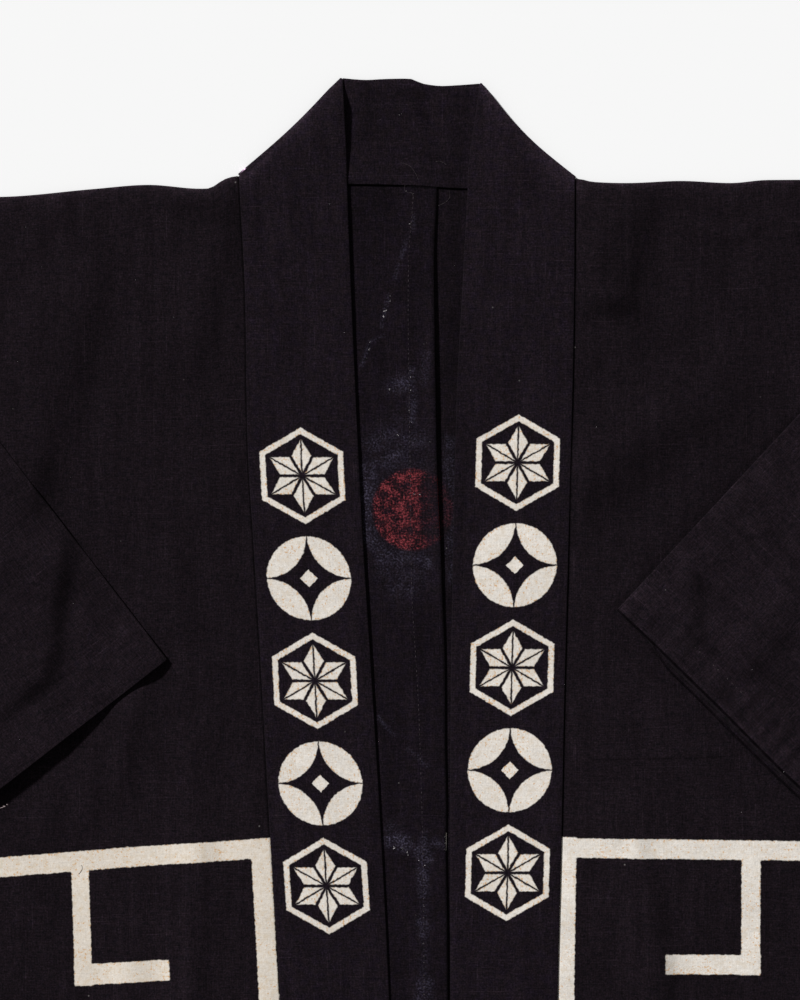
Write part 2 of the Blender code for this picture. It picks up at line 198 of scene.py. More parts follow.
# Soft folds of the fronts: the widths of their left and right slopes for a line that runs down,
# their rise, below 0 for a trough, and the line.
frontFolds = [
    (24, 13, 3.3, (-168, -20), (-172, -50), (-181, -82), (-190, -118), (-197, -142), (-204, -168),
     (-208, -182)),
    (10, 7, 1.5, (-196, -138), (-204, -176)),
    (14, 10, 1.9, (-97, -8), (-101, -34), (-107, -52), (-113, -76), (-119, -104)),
    (12, 9, 1.6, (-140, -70), (-137, -108)),
    (8, 5, 1.3, (-128, -6), (-98, -9)),
    (7, 6, 1.3, (-184, -6), (-206, -38)),
    (10, 9, 1.2, (-212, -60), (-196, -100)),
    (9, 6, 0.9, (-106, -128), (-105, -184)),
    (16, 9, 1.5, (-127, -186), (-121, -250)),
    (7, 7, 2.4, (-142, -262), (-150, -292), (-158, -326)),
    (6, 6, 1.6, (-170, -300), (-174, -346)),
    (6, 6, 1.4, (-187, -312), (-192, -346)),
    (12, 9, 1.1, (-112, -280), (-110, -340)),
    (12, 8, 3.1, (-114, -330), (-113, -404), (-117, -448), (-121, -540)),
    (10, 9, 1.0, (-146, -368), (-150, -450)),
    (18, 8, 3.4, (122, -2), (119, -34), (111, -57), (94, -61)),
    (5.5, 8, 1.6, (92, -60.7), (126, -62.7)),
    (9, 7, 1.2, (104, -12), (100, -44)),
    (3, 3, 1.3, (143, -21), (158, -25), (174, -26), (186, -20)),
    (4, 3, 0.8, (188, -12), (208, -26)),
    (18, 19, 3.8, (82, -180), (92, -160), (107, -146), (128, -131), (149, -119), (184, -103)),
    (8, 14, 0.9, (104, -217), (150, -168), (200, -115)),
    (10, 10, 1.3, (98, -70), (124, -92)),
    (14, 14, 1.3, (152, -80), (172, -104)),
    (16, 16, -1.3, (104, -238), (128, -256), (150, -282)),
    (2.6, 2.6, 0.45, (94, -303.5), (128, -304.5), (146, -302)),
    (4, 4, 0.8, (148, -298), (176, -303)),
    (6, 5, 1.6, (106, -326), (109, -352)),
    (5, 5, 1.4, (119, -318), (124, -352)),
    (14, 5, 3.3, (113, -338), (121, -356), (127, -374), (131.5, -390), (134, -410), (134, -440),
     (131, -540)),
    (18, 20, 1.4, (-218, -60), (-224, -190)),
    (20, 16, 1.4, (214, -60), (246, -150)),
    (20, 26, 2.2, (-164, -500), (-186, -700)),
    (16, 20, 1.8, (-256, -470), (-250, -690)),
    (22, 14, 2.2, (176, -500), (190, -720)),
    (18, 22, 1.9, (250, -450), (240, -650)),
    (10, 12, 1.0, (-92, -600), (-88, -740)),
    (9, 12, 1.0, (108, -640), (112, -760)),
]

# Small unevenness of the back, seen between the bands.
backFolds = [
    (6, 8, 0.4, (-22, -60), (-30, -150)),
    (6, 9, 0.35, (-10, -210), (-6, -300)),
    (5, 5, 0.25, (22, -80), (24, -220)),
]


def sideEdge(side):
    return coat["shift"] + side * coat["halfWidth"]


def shoulderRise(x):
    return lookUp(shoulder, "rise", x)


def seamX(drop):  # the centre back seam
    return lookUp(backSeam, "x", drop)


def bandAt(side, column, drop):
    return lookUp(bandSeams[side], column, drop)


def rowY(x, drop):  # where a row lies once the shoulder's waves are added
    return -drop + (shoulderRise(x) - foldReach) * np.exp(-np.maximum(drop, 0) / shoulder["fade"])


def frontHeight(side, x, y):
    inwards = ease(np.abs(sideEdge(side) - x) / frontLies["side"])
    below = ease((-y - frontLies["armhole"]) / frontLies["closing"])
    seam = mix(heights["front"], heights["sideSeam"], below)
    toBand = side * (x - bandAt(side, "seam", -y))
    free = ease((toBand + coat["lap"]) / frontLies["band"])
    lying = mix(seam, heights["front"], inwards)
    return mix(heights["tucked"], lying, free) + softFolds(frontFolds, x, y) * inwards * free


# Where the cloth is painted darker (below 1) or lighter than elsewhere: mostly painted shade in the
# troughs of folds and where one piece shades another, painted light on folded edges, and broader
# patches of tone. The width, the tone, what is in the names of the pieces that have it, and the line.
paintedShadeAndTones = [
    (5, 0.78, "cloth", (24, -4), (25, -230)),
    (4, 0.72, "cloth", (-22, 52), (-23, 44)),
    (4.5, 0.66, "cloth", (-20, 38), (-24, 28)),
    (9, 0.9, "cloth", (-12, 52), (-14, 12)),
    (4, 0.74, "cloth", (5, 52), (7, 36)),
    (7, 0.84, "cloth", (8, 36), (12, 8)),
    (6, 0.72, "cloth", (29, 46), (24, 4)),
    (3, 0.84, "cloth", (-26, -3), (20, -4)),
    (8, 0.86, "cloth", (-26, -13), (-3, -19)),
    (17, 0.85, "cloth", (126, -6), (121, -30), (112, -54)),
    (7.5, 0.85, "cloth", (92, -66), (122, -67)),
    (13, 0.88, "cloth", (96, -170), (128, -142), (158, -126), (176, -114)),
    (9, 0.88, "cloth", (-92, -10), (-98, -40), (-104, -70), (-110, -104)),
    (8, 0.78, "cloth", (-126, -10), (-96, -15)),
    (9, 0.88, "cloth", (-163, -50), (-172, -84), (-182, -118), (-189, -142), (-197, -168)),
    (13, 0.9, "cloth", (116, -238), (144, -266)),
    (10, 1.1, "cloth", (-60, 28), (-80, 8)),
    (8, 1.18, "cloth", (62, 32), (84, 4)),
    (9, 1.08, "cloth", (44, 40), (37, -40)),
    (4.0, 1.5, "sleeve", (113.5, -226.5), (126, -212)),
    (3.2, 0.72, "body", (112, -224), (130, -204), (195, -134), (212, -116)),
    (1.0, 1.2, "sleeve", (-219, -138), (-137, -242)),
    (1.2, 1.3, "sleeve", (-219, -138), (-210, -148)),
    (1.2, 1.3, "sleeve", (-191, -170), (-177, -188)),
    (1.6, 1.15, "sleeve", (-143, -234), (-134, -246)),
    (12, 1.14, "sleeve", (-214, -180), (-192, -190)),
    (6, 0.93, "body", (-201, -150), (-188, -166)),
    (13, 1.16, "cloth", (-207, -303), (-162, -268)),
    (5, 1.12, "cloth", (130, -209), (190, -146)),
    (10, 1.12, "cloth", (-140, -252), (-176, -278), (-214, -306)),
    (12, 1.1, "cloth", (-150, -226), (-166, -248)),
    (6, 0.78, "cloth", (-180, -190), (-184, -222), (-186, -248), (-192, -262), (-203, -271)),
    (6, 0.84, "cloth", (154, -214), (151, -240)),
    (14, 0.9, "cloth", (186, -240), (206, -262)),
    (34, 1.11, "body_right", (112, -235), (112, -390)),
    (45, 1.12, "body_left", (-125, -350), (-125, -440)),
    (30, 1.07, "body_left", (-170, -40), (-125, -40)),
    (20, 1.18, "sleeve", (-181, -244), (-152, -244)),
    (22, 1.06, "band", (-26, 26), (28, 26)),
]


toneReach = 1.6  # how many widths a tone takes to fade away

# The light on folded edges is measured from the shoulders' outline. Within reach of the middle it
# is measured from the mitres instead, and behind the neck it fades below the band's top.
rimLight = {"middle": 3, "reach": 90, "between": 2, "footY": 1.0, "nape": 4, "fade": 2, "top": 55}


def pointsOf(mesh):
    spots = np.empty(len(mesh.vertices) * 3)
    mesh.vertices.foreach_get("co", spots)
    return spots.reshape(-1, 3)


def fromNape(mesh):  # where a mesh's points are, from the nape
    spots = pointsOf(mesh)
    return spots[:, 0] / mm - napeX, spots[:, 1] / mm - napeY


def setMark(mesh, name, values):
    mark = mesh.attributes.new(name, "FLOAT", "POINT")
    mark.data.foreach_set("value", values)


def rimDistance(x, y):  # from the top outline, where the cloth's folds catch the light
    below = shoulderRise(x) - y
    inner = np.abs(x - rimLight["middle"]) < rimLight["reach"]
    for side, mitre in mitres.items():
        foot = (side * rimLight["reach"], rimLight["footY"])
        near = along((foot, mitre["corner"]), x, y)[0]
        own = inner & (side * (x - rimLight["between"]) > 0)
        below = np.where(own, near * mitre["fade"], below)
    nape = (x > mitres[-1]["corner"][0]) & (x < mitres[1]["corner"][0]) & (y > 0)
    return np.where(nape, rimLight["nape"] + rimLight["fade"] * np.maximum(rimLight["top"] - y, 0), below)


# marks each point with its painted shade and light, and with its distance from the folded edges that get
# painted light
def paintShadeAndTones(mesh):
    x, y = fromNape(mesh)
    light = np.ones(len(x))
    for width, tone, name, *line in paintedShadeAndTones:
        if name in mesh.name:
            near = along(line, x, y)[0]
            light *= 1 - (1 - tone) * ease(1 - near / width / toneReach)
    setMark(mesh, "tone", light)
    setMark(mesh, "rim", rimDistance(x, y))


def addPiece(name, mesh):
    piece = bpy.data.objects.new(name, mesh)
    bpy.context.scene.collection.objects.link(piece)
    return piece


def newMaterial(name):
    material = bpy.data.materials.new(name)
    material.use_nodes = True
    return material, material.node_tree, material.node_tree.nodes["Principled BSDF"]


def tubeRing(step, layer, edge):  # round a flat tube: the part it is on, and its turn at the edges
    part = [step <= layer, step <= layer + edge, step <= 2 * layer + edge]
    turns = [0 * step, (step - layer) / edge, 1 + 0 * step]
    return part, np.select(part, turns, 1 + (step - 2 * layer - edge) / edge) * np.pi


# Lays a grid of cloth: place() turns columns and rows into x, y, z and the chart of the weave.
def clothGrid(name, columns, rows, place, cut=None, closed=False, flip=False):
    shape = bmesh.new()
    bmesh.ops.create_grid(shape, x_segments=columns, y_segments=rows, size=0.5)
    if cut:
        gone = []
        for face in shape.faces:
            middle = face.calc_center_median()
            if cut((middle.x + 0.5) * columns, (middle.y + 0.5) * rows):
                gone.append(face)
        bmesh.ops.delete(shape, geom=gone, context="FACES")
    if flip:
        bmesh.ops.reverse_faces(shape, faces=shape.faces)
    mesh = meshOf(shape, name)
    flat = pointsOf(mesh)
    column = np.rint((flat[:, 0] + 0.5) * columns)
    row = np.rint((flat[:, 1] + 0.5) * rows)
    x, y, z, u, v = place(column, row)
    spot = np.column_stack(((x + napeX) * mm, (y + napeY) * mm, z * mm))
    mesh.vertices.foreach_set("co", spot.ravel())
    corners = np.empty(len(mesh.loops), int)
    mesh.loops.foreach_get("vertex_index", corners)
    chart = mesh.uv_layers.new(name="cloth")
    chart.data.foreach_set("uv", np.column_stack((u, v))[corners].ravel())
    if closed:
        weld(mesh, 0.00001)
    mesh.shade_smooth()
    paintShadeAndTones(mesh)
    piece = addPiece(name, mesh)
    walls = piece.modifiers.new("wall", "SOLIDIFY")
    walls.thickness = coat["wall"] * mm
    walls.offset = 0.0
    walls.material_offset = 1
    return piece


# The body: one length of cloth for each half, finer where its folds are small.
body = {
    "rows": 212,
    "fineRows": 150,
    "fineTo": 445.0,
    "foldRows": 8,
    "hemFoldRows": 5,
    "hemRows": 9,
    "sideColumns": 72,
    "neckColumns": 22,
    "turnedColumns": 14,
    "turnedFlat": 7,  # of the turned columns, past the right half's bend
    "neckTuck": 0.5,  # how far past the band's lap the back reaches under it, and where that ends
    "tuckFade": 6.0,
    "curl": 9,  # width of the turning's curled edge, and how sharply it curls
    "curlPower": 1.5,
    "hemStep": 2,  # between rows of the hem, on the chart of the weave
}

# How far the disc shows inside: it fades out towards the seam, and is faint past the turning.
discFade = {"from": 0.5, "over": 11, "loss": 0.9, "past": 17, "pastOver": 3, "faint": 0.03}

# How far the turning reaches from its seam, how far its free edge curls up, and how far the
# lower turning shows past it.
turningEdge = {
    "drop": (0, 20, 40, 70, 100, 150, 200, 235, 290, 330, 346, 352, 362, 400, 780),
    "reach": (12.4, 12.9, 13.5, 13.9, 14.0, 14.3, 15.9, 16.0, 13.6, 13.0, 12.3, 12.2, 12.2, 12.5, 13),
    "lift": (0.1, 0.6, 1.1, 1.8, 2.1, 2.1, 1.4, 0.6, 0.4, 0.4, 0.4, 0.4, 0.4, 0.4, 0.3),
    "peek": (-1, -1, -1, -1, -1, -1, -1, -0.5, 0.4, 0.4, 0.35, 0.2, -0.6, -0.8, -1.0),
}

# Chalky haze inside: how wide, how strong, and its line.
bodyHaze = [
    (7, 0.62, (-22, -150), (-23, -186)),
    (8, 0.4, (-20, -138), (-12, -134)),
    (7, 0.32, (-9, -132), (6, -136)),
    (5, 0.5, (-15, -147), (-5, -143)),
    (5, 0.5, (-14, -197), (10, -200)),
    (6, 0.5, (-21, -186), (-14, -197)),
    (6, 0.3, (22, -136), (23, -210)),
    (27, 0.16, (-5, -138), (-3, -204)),
    (7, 0.45, (-9, -106), (-1, -104)),
    (4, 0.36, (1, -98), (2, -124)),
    (4, 0.25, (9, -90), (8, -104)),
    (5, 0.4, (-6, -214), (0, -215)),
    (4, 0.3, (-14, -203), (-10, -204)),
    (6, 0.85, (-10, -347), (-2, -350)),
    (5, 0.6, (5, -354), (10, -358)),
    (4, 0.4, (8, -346), (9, -356)),
    (5, 0.48, (7, -362), (8, -376)),
    (5, 0.14, (8, -378), (8, -436)),
    (5, 0.46, (7, -391), (8, -397)),
    (7, 0.5, (8, -424), (8, -440)),
    (4, 0.35, (-9, -340), (-8, -344)),
    (4, 0.25, (12, -349), (19, -350)),
]


def backPoint(side, column, drop):  # x and height of the back's cloth before the shoulder's waves
    reach = lookUp(turningEdge, "reach", drop)
    neck = bandAt(side, "seam", 0.0) - side * coat["lap"]
    seam = seamX(drop)
    s, n, t = body["sideColumns"], body["neckColumns"], body["turnedColumns"]
    x = mix(sideEdge(side), neck, column / s)
    z = np.full(np.shape(x), heights["back"])
    inner = column - s
    if side < 0:
        foot = seam - backSeam["ramp"]
        x = np.where(inner > 0, mix(neck, foot, inner / n), x)
        share = (inner - n) / t
        edge = seam + reach
        x = np.where(inner > n, mix(foot, edge, share), x)
        climb = ease((x - foot) / backSeam["ramp"])
        curl = ease((x - edge + body["curl"]) / body["curl"])
        lift = lookUp(turningEdge, "lift", drop) * curl ** body["curlPower"]
        high = mix(heights["back"], heights["upperTurned"], climb) + lift
        z = np.where(inner > n, high, z)
        return x, z
    radius = (heights["turned"] - heights["back"]) / 2
    axis = seam + coat["gap"] + coat["wall"] / 2 + radius
    x = np.where(inner > 0, mix(neck, axis, inner / n), x)
    bends = t - body["turnedFlat"]
    angle = halfTurn((inner - n) / bends)
    turning = (inner > n) & (inner <= n + bends)
    x = np.where(turning, axis - radius * np.sin(angle), x)
    z = np.where(inner > n, heights["back"] + radius * (1 - np.cos(angle)), z)
    edge = seam + reach + lookUp(turningEdge, "peek", drop)
    x = np.where(inner > n + bends, mix(axis, edge, (inner - n - bends) / body["turnedFlat"]), x)
    return x, z


def makeBody(side, name):
    rows, folds, hem = body["rows"], body["foldRows"], body["hemRows"]
    columns = body["sideColumns"] + body["neckColumns"] + body["turnedColumns"]
    total = hem + rows + folds + rows + hem
    radius = coat["hemRadius"]
    length = coat["length"]

    def hemPlace(step):  # drop and inward offset, from the foot of the cloth up inside
        bend = body["hemFoldRows"]
        angle = halfTurn(step / bend)
        up = np.clip((step - bend) / (hem - bend), 0, 1) * coat["hem"]
        return length - radius + radius * np.sin(angle) - up, radius * (1 - np.cos(angle))

    def place(column, row):
        fromShoulder = np.abs(row - total / 2) - folds / 2  # in rows
        front = row > total / 2
        steps = (0, body["fineRows"], rows)
        drop = np.interp(fromShoulder, steps, (0, body["fineTo"], length - radius))
        hemDrop, inward = hemPlace(fromShoulder - rows)
        hemmed = fromShoulder > rows
        drop = np.where(hemmed, hemDrop, drop)
        inward = np.where(hemmed, inward, 0.0)
        backX, backZ = backPoint(side, column, drop)
        backY = rowY(backX, drop)
        inner = column > body["sideColumns"]
        backY = backY + inner * foldReach * np.exp(-drop / shoulder["fade"])
        backY = backY + inner * (coat["lap"] + body["neckTuck"]) * np.exp(-drop / body["tuckFade"])
        backZ = backZ + softFolds(backFolds, backX, backY) + inward
        seam = bandAt(side, "seam", drop) - side * coat["lap"]
        frontX = mix(sideEdge(side), seam, column / body["sideColumns"])
        frontY = rowY(frontX, drop)
        frontZ = frontHeight(side, frontX, frontY) - inward
        x = np.where(front, frontX, backX)
        y = np.where(front, frontY, backY)
        z = np.where(front, frontZ, backZ)
        angle = halfTurn((row - total / 2) / folds + 0.5)
        turning = np.abs(row - total / 2) < folds / 2
        x = np.where(turning, backPoint(side, column, np.zeros_like(x))[0], x)
        y = np.where(turning, rowY(x, 0.0) + foldRadius * np.sin(angle), y)
        z = np.where(turning, heights["back"] + foldRadius * (1 - np.cos(angle)), z)
        run = np.where(hemmed, length + (fromShoulder - rows) * body["hemStep"], drop)
        v = np.where(front, -run - foldRadius, run + foldRadius)
        v = np.where(turning, foldRadius * np.cos(angle), v)
        return x, y, z, x, v

    def cut(column, row):
        return column > body["sideColumns"] and row > hem + rows

    piece = clothGrid(name, columns, total, place, cut=cut, flip=side < 0)
    x, y = fromNape(piece.data)
    chalk = np.zeros(len(x))
    for width, strength, *line in bodyHaze:
        near = along(line, x, y)[0]
        chalk = np.maximum(chalk, strength * ease(1 - near / width))
    setMark(piece.data, "haze", chalk)
    red = 1 - discFade["loss"] * ease((x - discFade["from"]) / discFade["over"])
    red = red + discFade["faint"] * ease((x - discFade["past"]) / discFade["pastOver"])
    setMark(piece.data, "red", red)
    return piece


# The sleeves: flat tubes, each rolled over a slanting fold on to the front.
sleeve = {
    "width": 324.5,  # armhole to cuff
    "depth": 300.0,  # shoulder fold to underarm fold
    "hem": 16.0,
    "hemRadius": 0.26,
    "roll": 4.3,  # height of the roll's axis
    "lower": 2.5,  # height of the lower layer once it lies down
    "spread": 0.5,  # from there up to the upper one
    "settle": 170.0,
    "ringRows": 110,
    "fineRows": 75,
    "fineTo": 150.0,
    "edgeRows": 6,
    "stillColumns": 20,
    "rollColumns": 14,
    "foldedColumns": 44,
    "fineColumns": 60,
    "fineFrom": 120.0,  # from the cuff
    "lastAt": (6.0, 4.4, 3.0, 2.0, 1.4, 1.0, 0.7, 0.45),  # from the cuff, its last columns
    "hemFoldColumns": 5,
    "hemColumns": 9,
    "hemEase": 10,  # how far past the hem the two layers take to close up
    "hemStep": 2,  # between columns of the hem, on the chart of the weave
    "bowReach": 40,  # how far from the cuff its bow reaches
    "footHeld": (29, 12),  # above the underarm fold: from where the inner layer is held, and over how far
    "taut": 60,  # of its width, where no slack is taken up
    "liftReach": (20.0, 46.0, 90),  # from the cuff at its corner and lower down, and how far down
    "lowerLift": 0.55,  # of the upper layer's
    "lowerCrease": 0.4,  # how much less the lower layer is creased
    "pucker": (11, 13),  # from the cuff's edge: where they are, and how long
    "edgeReach": 0.9,  # how far in the cuff's edge dips, and the lower layer's share of it
    "lowerEdge": 0.6,
}

# Start and slant of each fold, the inner layer's slack and where it is held back, and how the
# cuff's two edges lie. The fold itself is pressed flatter (below 1) or rounder along it. A cuff's
# edge bows out a little (drop, upper layer, lower layer).
sleeveFolds = {
    -1: {"start": 313.3, "lean": 26.10, "slack": 7.0, "held": (17, 12), "spread": 1.5, "edgeDrop": 0.0,
         "at": (0, 190, 206, 216, 250, 262, 400), "round": (0.45, 0.45, 0.6, 1, 1, 0.5, 0.45),
         "bow": ((0, 300), (0, 0), (0, 0))},
    1: {"start": 318.54, "lean": 23.39, "slack": -1.4, "held": (16, 34), "spread": 2.4, "edgeDrop": 2.1,
         "at": (0, 400), "round": (1, 1),
         "bow": ((0, 28, 54, 75, 96, 125, 200, 300), (0, 0, 0.5, 0.9, 1.7, 2.5, 2.0, 0),
                 (0, -0.6, -1.0, -0.5, 0.2, 0.8, 0.5, 0))},
}

# How the cuffs lift, by the drop along the cuff from the sleeve's top corner.
cuffLifts = {
    -1: {"drop": (0, 4, 9, 15, 21, 27, 33, 40, 47, 56, 66, 80, 100, 140, 180, 240, 300),
         "lift": (1.8, 3.1, 3.9, 2.9, 1.3, 0.1, -0.4, -0.2, 0.8, 2.4, 3.9, 4.9, 5.2, 5.4, 5.0, 3.6, 1.5)},
    1: {"drop": (0, 5, 12, 40, 100, 300), "lift": (1.6, 2.0, 1.8, 1.8, 1.9, 1.2)},
}

# Creases of the sleeves, in the same columns as the fronts' folds.
sleeveCreases = [
    (26, 7.5, 5.6, (-184, -184), (-190.5, -220), (-192, -246), (-197, -260), (-208, -268), (-222, -280)),
    (9, 22, 2.4, (-168, -206), (-174, -236), (-180, -258), (-196, -282)),
    (12, 14, 1.6, (-240, -190), (-252, -240), (-262, -290)),
    (14, 18, 2.0, (-290, -210), (-330, -330)),
    (10, 14, 1.5, (-330, -300), (-372, -400)),
    (9, 5.5, 2.2, (149, -202), (151, -228), (156, -250)),
    (5, 4, 0.8, (140, -212), (142, -232)),
    (16, 7.5, 2.8, (204, -226), (188, -246), (172, -264)),
    (10, 9, 2.0, (204, -204), (192, -232)),
    (6, 4, 1.4, (160, -258), (170, -274)),
    (9, 9, 1.0, (172, -160), (186, -190)),
    (10, 12, 1.4, (214, -150), (240, -215)),
    (12, 16, 1.8, (270, -220), (300, -330)),
    (18, 14, 1.8, (330, -190), (362, -330)),
]

# Puckers along the cuffs' stitching: how far down the cuff, how wide and how high.
cuffPuckers = {
    -1: {"drop": (18, 44, 96, 150, 205, 262), "width": (4, 5, 4, 5, 6, 5),
         "rise": (0.5, 0.4, 0.6, 0.5, 0.6, 0.5)},
    1: {
        "drop": (16, 24, 33, 41, 50, 66, 84, 92, 100, 109, 119, 129, 168, 214, 226, 271),
        "width": (3.2, 3, 3.2, 3, 3.4, 4, 3, 2.8, 3, 3.2, 3, 3.4, 4, 4, 4, 5),
        "rise": (1.1, 0.9, 1.3, 1.0, 1.0, 0.7, 1.7, 1.4, 1.9, 1.7, 1.4, 1.3, 0.8, 0.9, 0.7, 0.8),
    },
}


# Where a point of the flat sleeve goes once the sleeve is rolled over its fold.
def foldedSleeve(side, x, y, drop, height, toCuff):
    fold = sleeveFolds[side]
    startX = side * fold["start"]
    startY = float(shoulderRise(startX))
    lean = math.radians(fold["lean"])
    alongX, alongY = side * math.sin(lean), -math.cos(lean)
    outX, outY = side * math.cos(lean), math.sin(lean)
    depth = (height - heights["back"]) / (heights["front"] - heights["back"])
    at, upper, lower = fold["bow"]
    bow = mix(curve(at, upper, drop), curve(at, lower, drop), depth)
    x = x + side * bow * np.exp(-((toCuff / sleeve["bowReach"]) ** 2))
    distance = (x - startX) * outX + (y - startY) * outY
    travel = (x - startX) * alongX + (y - startY) * alongY
    radius = sleeve["roll"] - height
    angle = np.clip(distance / radius, 0, np.pi)
    back = np.maximum(distance - np.pi * radius, 0)
    # where the two layers are one cloth, at the tube's edges, the inner one can't run ahead
    first, long = fold["held"]
    footFrom, footLong = sleeve["footHeld"]
    held = 1 - ease((drop - first) / long) + ease((drop - (sleeve["depth"] - footFrom)) / footLong)
    spare = np.pi * (heights["front"] - heights["back"])
    slack = depth * mix(fold["slack"], max(fold["slack"], spare), held)
    back = back * (1 - slack / (sleeve["width"] - sleeve["taut"]))
    bulge = np.sin(angle) ** curve(fold["at"], fold["round"], travel)
    out = np.where(distance < 0, distance, radius * bulge - back)
    placeX = startX + alongX * travel + outX * out
    placeY = startY + alongY * travel + outY * out
    hemmed = 1 - ease((toCuff - sleeve["hem"]) / sleeve["hemEase"])
    spread = mix(sleeve["spread"], fold["spread"], hemmed * (1 - held))
    lying = sleeve["lower"] + (1 - depth) * spread
    lift = mix(sleeve["roll"] + radius, lying, ease(back / sleeve["settle"]))
    lift = lift + softFolds(frontFolds, placeX, placeY)
    lift = lift + softFolds(sleeveCreases, placeX, placeY) * (1 - sleeve["lowerCrease"] * depth)
    corner, further, downTo = sleeve["liftReach"]
    reach = mix(corner, further, ease(drop / downTo))
    raised = lookUp(cuffLifts[side], "lift", drop) * np.exp(-((toCuff / reach) ** 2))
    lift = lift + raised * mix(1.0, sleeve["lowerLift"], depth)
    inset, tall = sleeve["pucker"]
    for at, width, rise in zip(*cuffPuckers[side].values()):
        near = ((drop - at) / width) ** 2 + ((toCuff - inset) / tall) ** 2
        lift = lift + rise * np.exp(-near)
    edge = np.exp(-((toCuff / sleeve["edgeReach"]) ** 2))
    lift = lift - fold["edgeDrop"] * mix(1.0, sleeve["lowerEdge"], depth) * edge
    z = np.where(back > 0, lift, sleeve["roll"] - radius * np.cos(angle))
    return placeX, placeY, z


def makeSleeve(side, name):
    rows, edges = sleeve["ringRows"], sleeve["edgeRows"]
    total = 2 * (rows + edges)
    still, roll = sleeve["stillColumns"], sleeve["rollColumns"]
    folded = sleeve["foldedColumns"]
    fine = folded + sleeve["fineColumns"]
    last = fine + len(sleeve["lastAt"])
    fold = sleeveFolds[side]
    lean = math.radians(fold["lean"])
    top = float(shoulderRise(side * fold["start"]))
    armhole = sideEdge(side) + side * coat["gap"]
    cuff = sideEdge(side) + side * sleeve["width"]
    middle = (heights["front"] + heights["back"]) / 2
    bottom = sleeve["depth"] - foldReach
    hemRadius = sleeve["hemRadius"]

    def place(column, row):
        step = column - still - roll - last
        bend = sleeve["hemFoldColumns"]
        angle = halfTurn(step / bend)
        inward = hemRadius * (1 - np.cos(angle))
        inside = np.clip((step - bend) / (sleeve["hemColumns"] - bend), 0, 1) * sleeve["hem"]
        hemX = hemRadius - hemRadius * np.sin(angle) + inside
        part, turn = tubeRing(row, rows, edges)
        steps = (0, sleeve["fineRows"], rows)
        layerRow = np.where(row <= rows, row, 2 * rows + edges - row)
        down = np.interp(layerRow, steps, (0, sleeve["fineTo"], bottom)) / bottom
        flat = np.select(part, [down, 1 + 0 * row, down], 0.0)
        ring = foldRadius - inward
        drop = mix(foldReach, bottom, flat) + ring * np.sin(turn)
        height = middle - ring * np.cos(turn)
        radius = sleeve["roll"] - (middle - foldRadius * np.cos(turn))
        crease = side * (fold["start"] + drop * math.tan(lean))
        turned = crease + side * np.pi * radius / math.cos(lean)
        run = column - still - roll
        x = np.select(
            [column <= still, run <= 0, run <= folded],
            [
                mix(armhole, crease, column / still),
                mix(crease, turned, (column - still) / roll),
                mix(turned, cuff - side * sleeve["fineFrom"], run / folded),
            ],
            cuff - side * np.interp(run, (folded, *range(fine, last + 1)),
                                    (sleeve["fineFrom"], *sleeve["lastAt"], hemRadius)),
        )
        hemmed = step > 0
        x = np.where(hemmed, cuff - side * hemX, x)
        toCuff = np.where(hemmed, hemX, (cuff - x) * side)
        px, py, pz = foldedSleeve(side, x, top - drop, drop, height, toCuff)
        u = np.where(hemmed, cuff + side * step * sleeve["hemStep"], x)
        around = np.select(part[:2], [drop, drop + turn * foldRadius / 2], 2 * sleeve["depth"] - drop)
        return px, py, pz, u, around

    columns = still + roll + last + sleeve["hemColumns"]
    return clothGrid(name, columns, total, place, closed=True, flip=side < 0)


# The neck band: a folded strip from one hem round the neck to the other.
band = {
    "width": 57.0,
    "nape": 1.1,  # height of its middle behind the neck
    "napeSeam": 1.5,  # and at its seam there
    "lying": 2.3,  # and at its seam on the fronts
    "neckRadius": 0.6,  # of the mitre's fold at its lower end
    "inset": 0.3,  # from its seam
    "free": 0.8,  # from its widest
    "rows": 195,
    "fanRows": 14,
    "rollRows": 14,
    "napeRows": 18,
    "layerColumns": 18,
    "edgeColumns": 6,
    "napeEase": 9.0,  # how far up it comes to its middle's height there
    "headIn": 6.0,  # how far past a mitre's corner the band behind the neck is laid out
    "settle": 1.1,  # how soon across its width it reaches its free edge's height
    "tip": (0.85, 0.15, 0.5),  # a mitre's fold is pressed flatter: from where, over how far, how much
    "hemThin": (10, 0.55),  # above its foot: over how far, and how much thinner
    "chart": -1.0,  # where the chart of the weave starts behind the neck
    # half the distance between its layers, from the seam to the free edge
    "thick": {
        -1: (0.3, 0.46, 0.46, 0.44, 0.46, 0.5),
        0: (0.3, 0.46, 0.46, 0.46, 0.46, 0.5),
        1: (0.3, 0.46, 0.44, 0.44, 0.46, 0.5),
    },
}

# The band's free edge behind the neck.
collarTop = {"x": (-36, -23, -13, 1.6, 4.8, 8.0, 16.5, 24.5, 37.6),
             "y": (58.2, 57.3, 57.8, 57.8, 56.3, 55.2, 54.1, 54.4, 55.3)}

# Heights of the bands' free edges, by y from the hem up to the mitres' corners.
bandEdges = {
    -1: {"y": (-780, -340, -200, -110, -20, 4, 16, 26, 36, 47, 54),
         "z": (1.3, 1.5, 2.2, 2.35, 2.4, 2.4, 3.3, 4.7, 5.4, 6.6, 5.0)},
    1: {"y": (-780, -340, -200, -110, -20, 0, 20, 54),
        "z": (1.3, 1.35, 1.45, 1.5, 1.6, 1.8, 2.2, 3.0)},
}

# Slight waves along the bands: how far down, how long, and how high.
bandWaves = {
    -1: {"drop": (30, 95, 180, 268, 350, 470, 590, 700), "length": (26, 30, 34, 24, 30, 40, 46, 36),
         "rise": (0.45, -0.3, 0.4, -0.3, 0.45, -0.4, 0.5, -0.4)},
    1: {"drop": (60, 130, 215, 300, 390, 500, 610, 720), "length": (28, 26, 36, 30, 34, 40, 50, 30),
        "rise": (0.4, -0.4, 0.45, -0.35, 0.4, -0.4, 0.45, -0.3)},
}


def neckFoot(x):  # the band's seam behind the neck
    return Vector((x, float(shoulderRise(x)) + coat["gap"]))


def neckHead(x):  # and its free edge there
    return Vector((x, float(lookUp(collarTop, "y", x))))


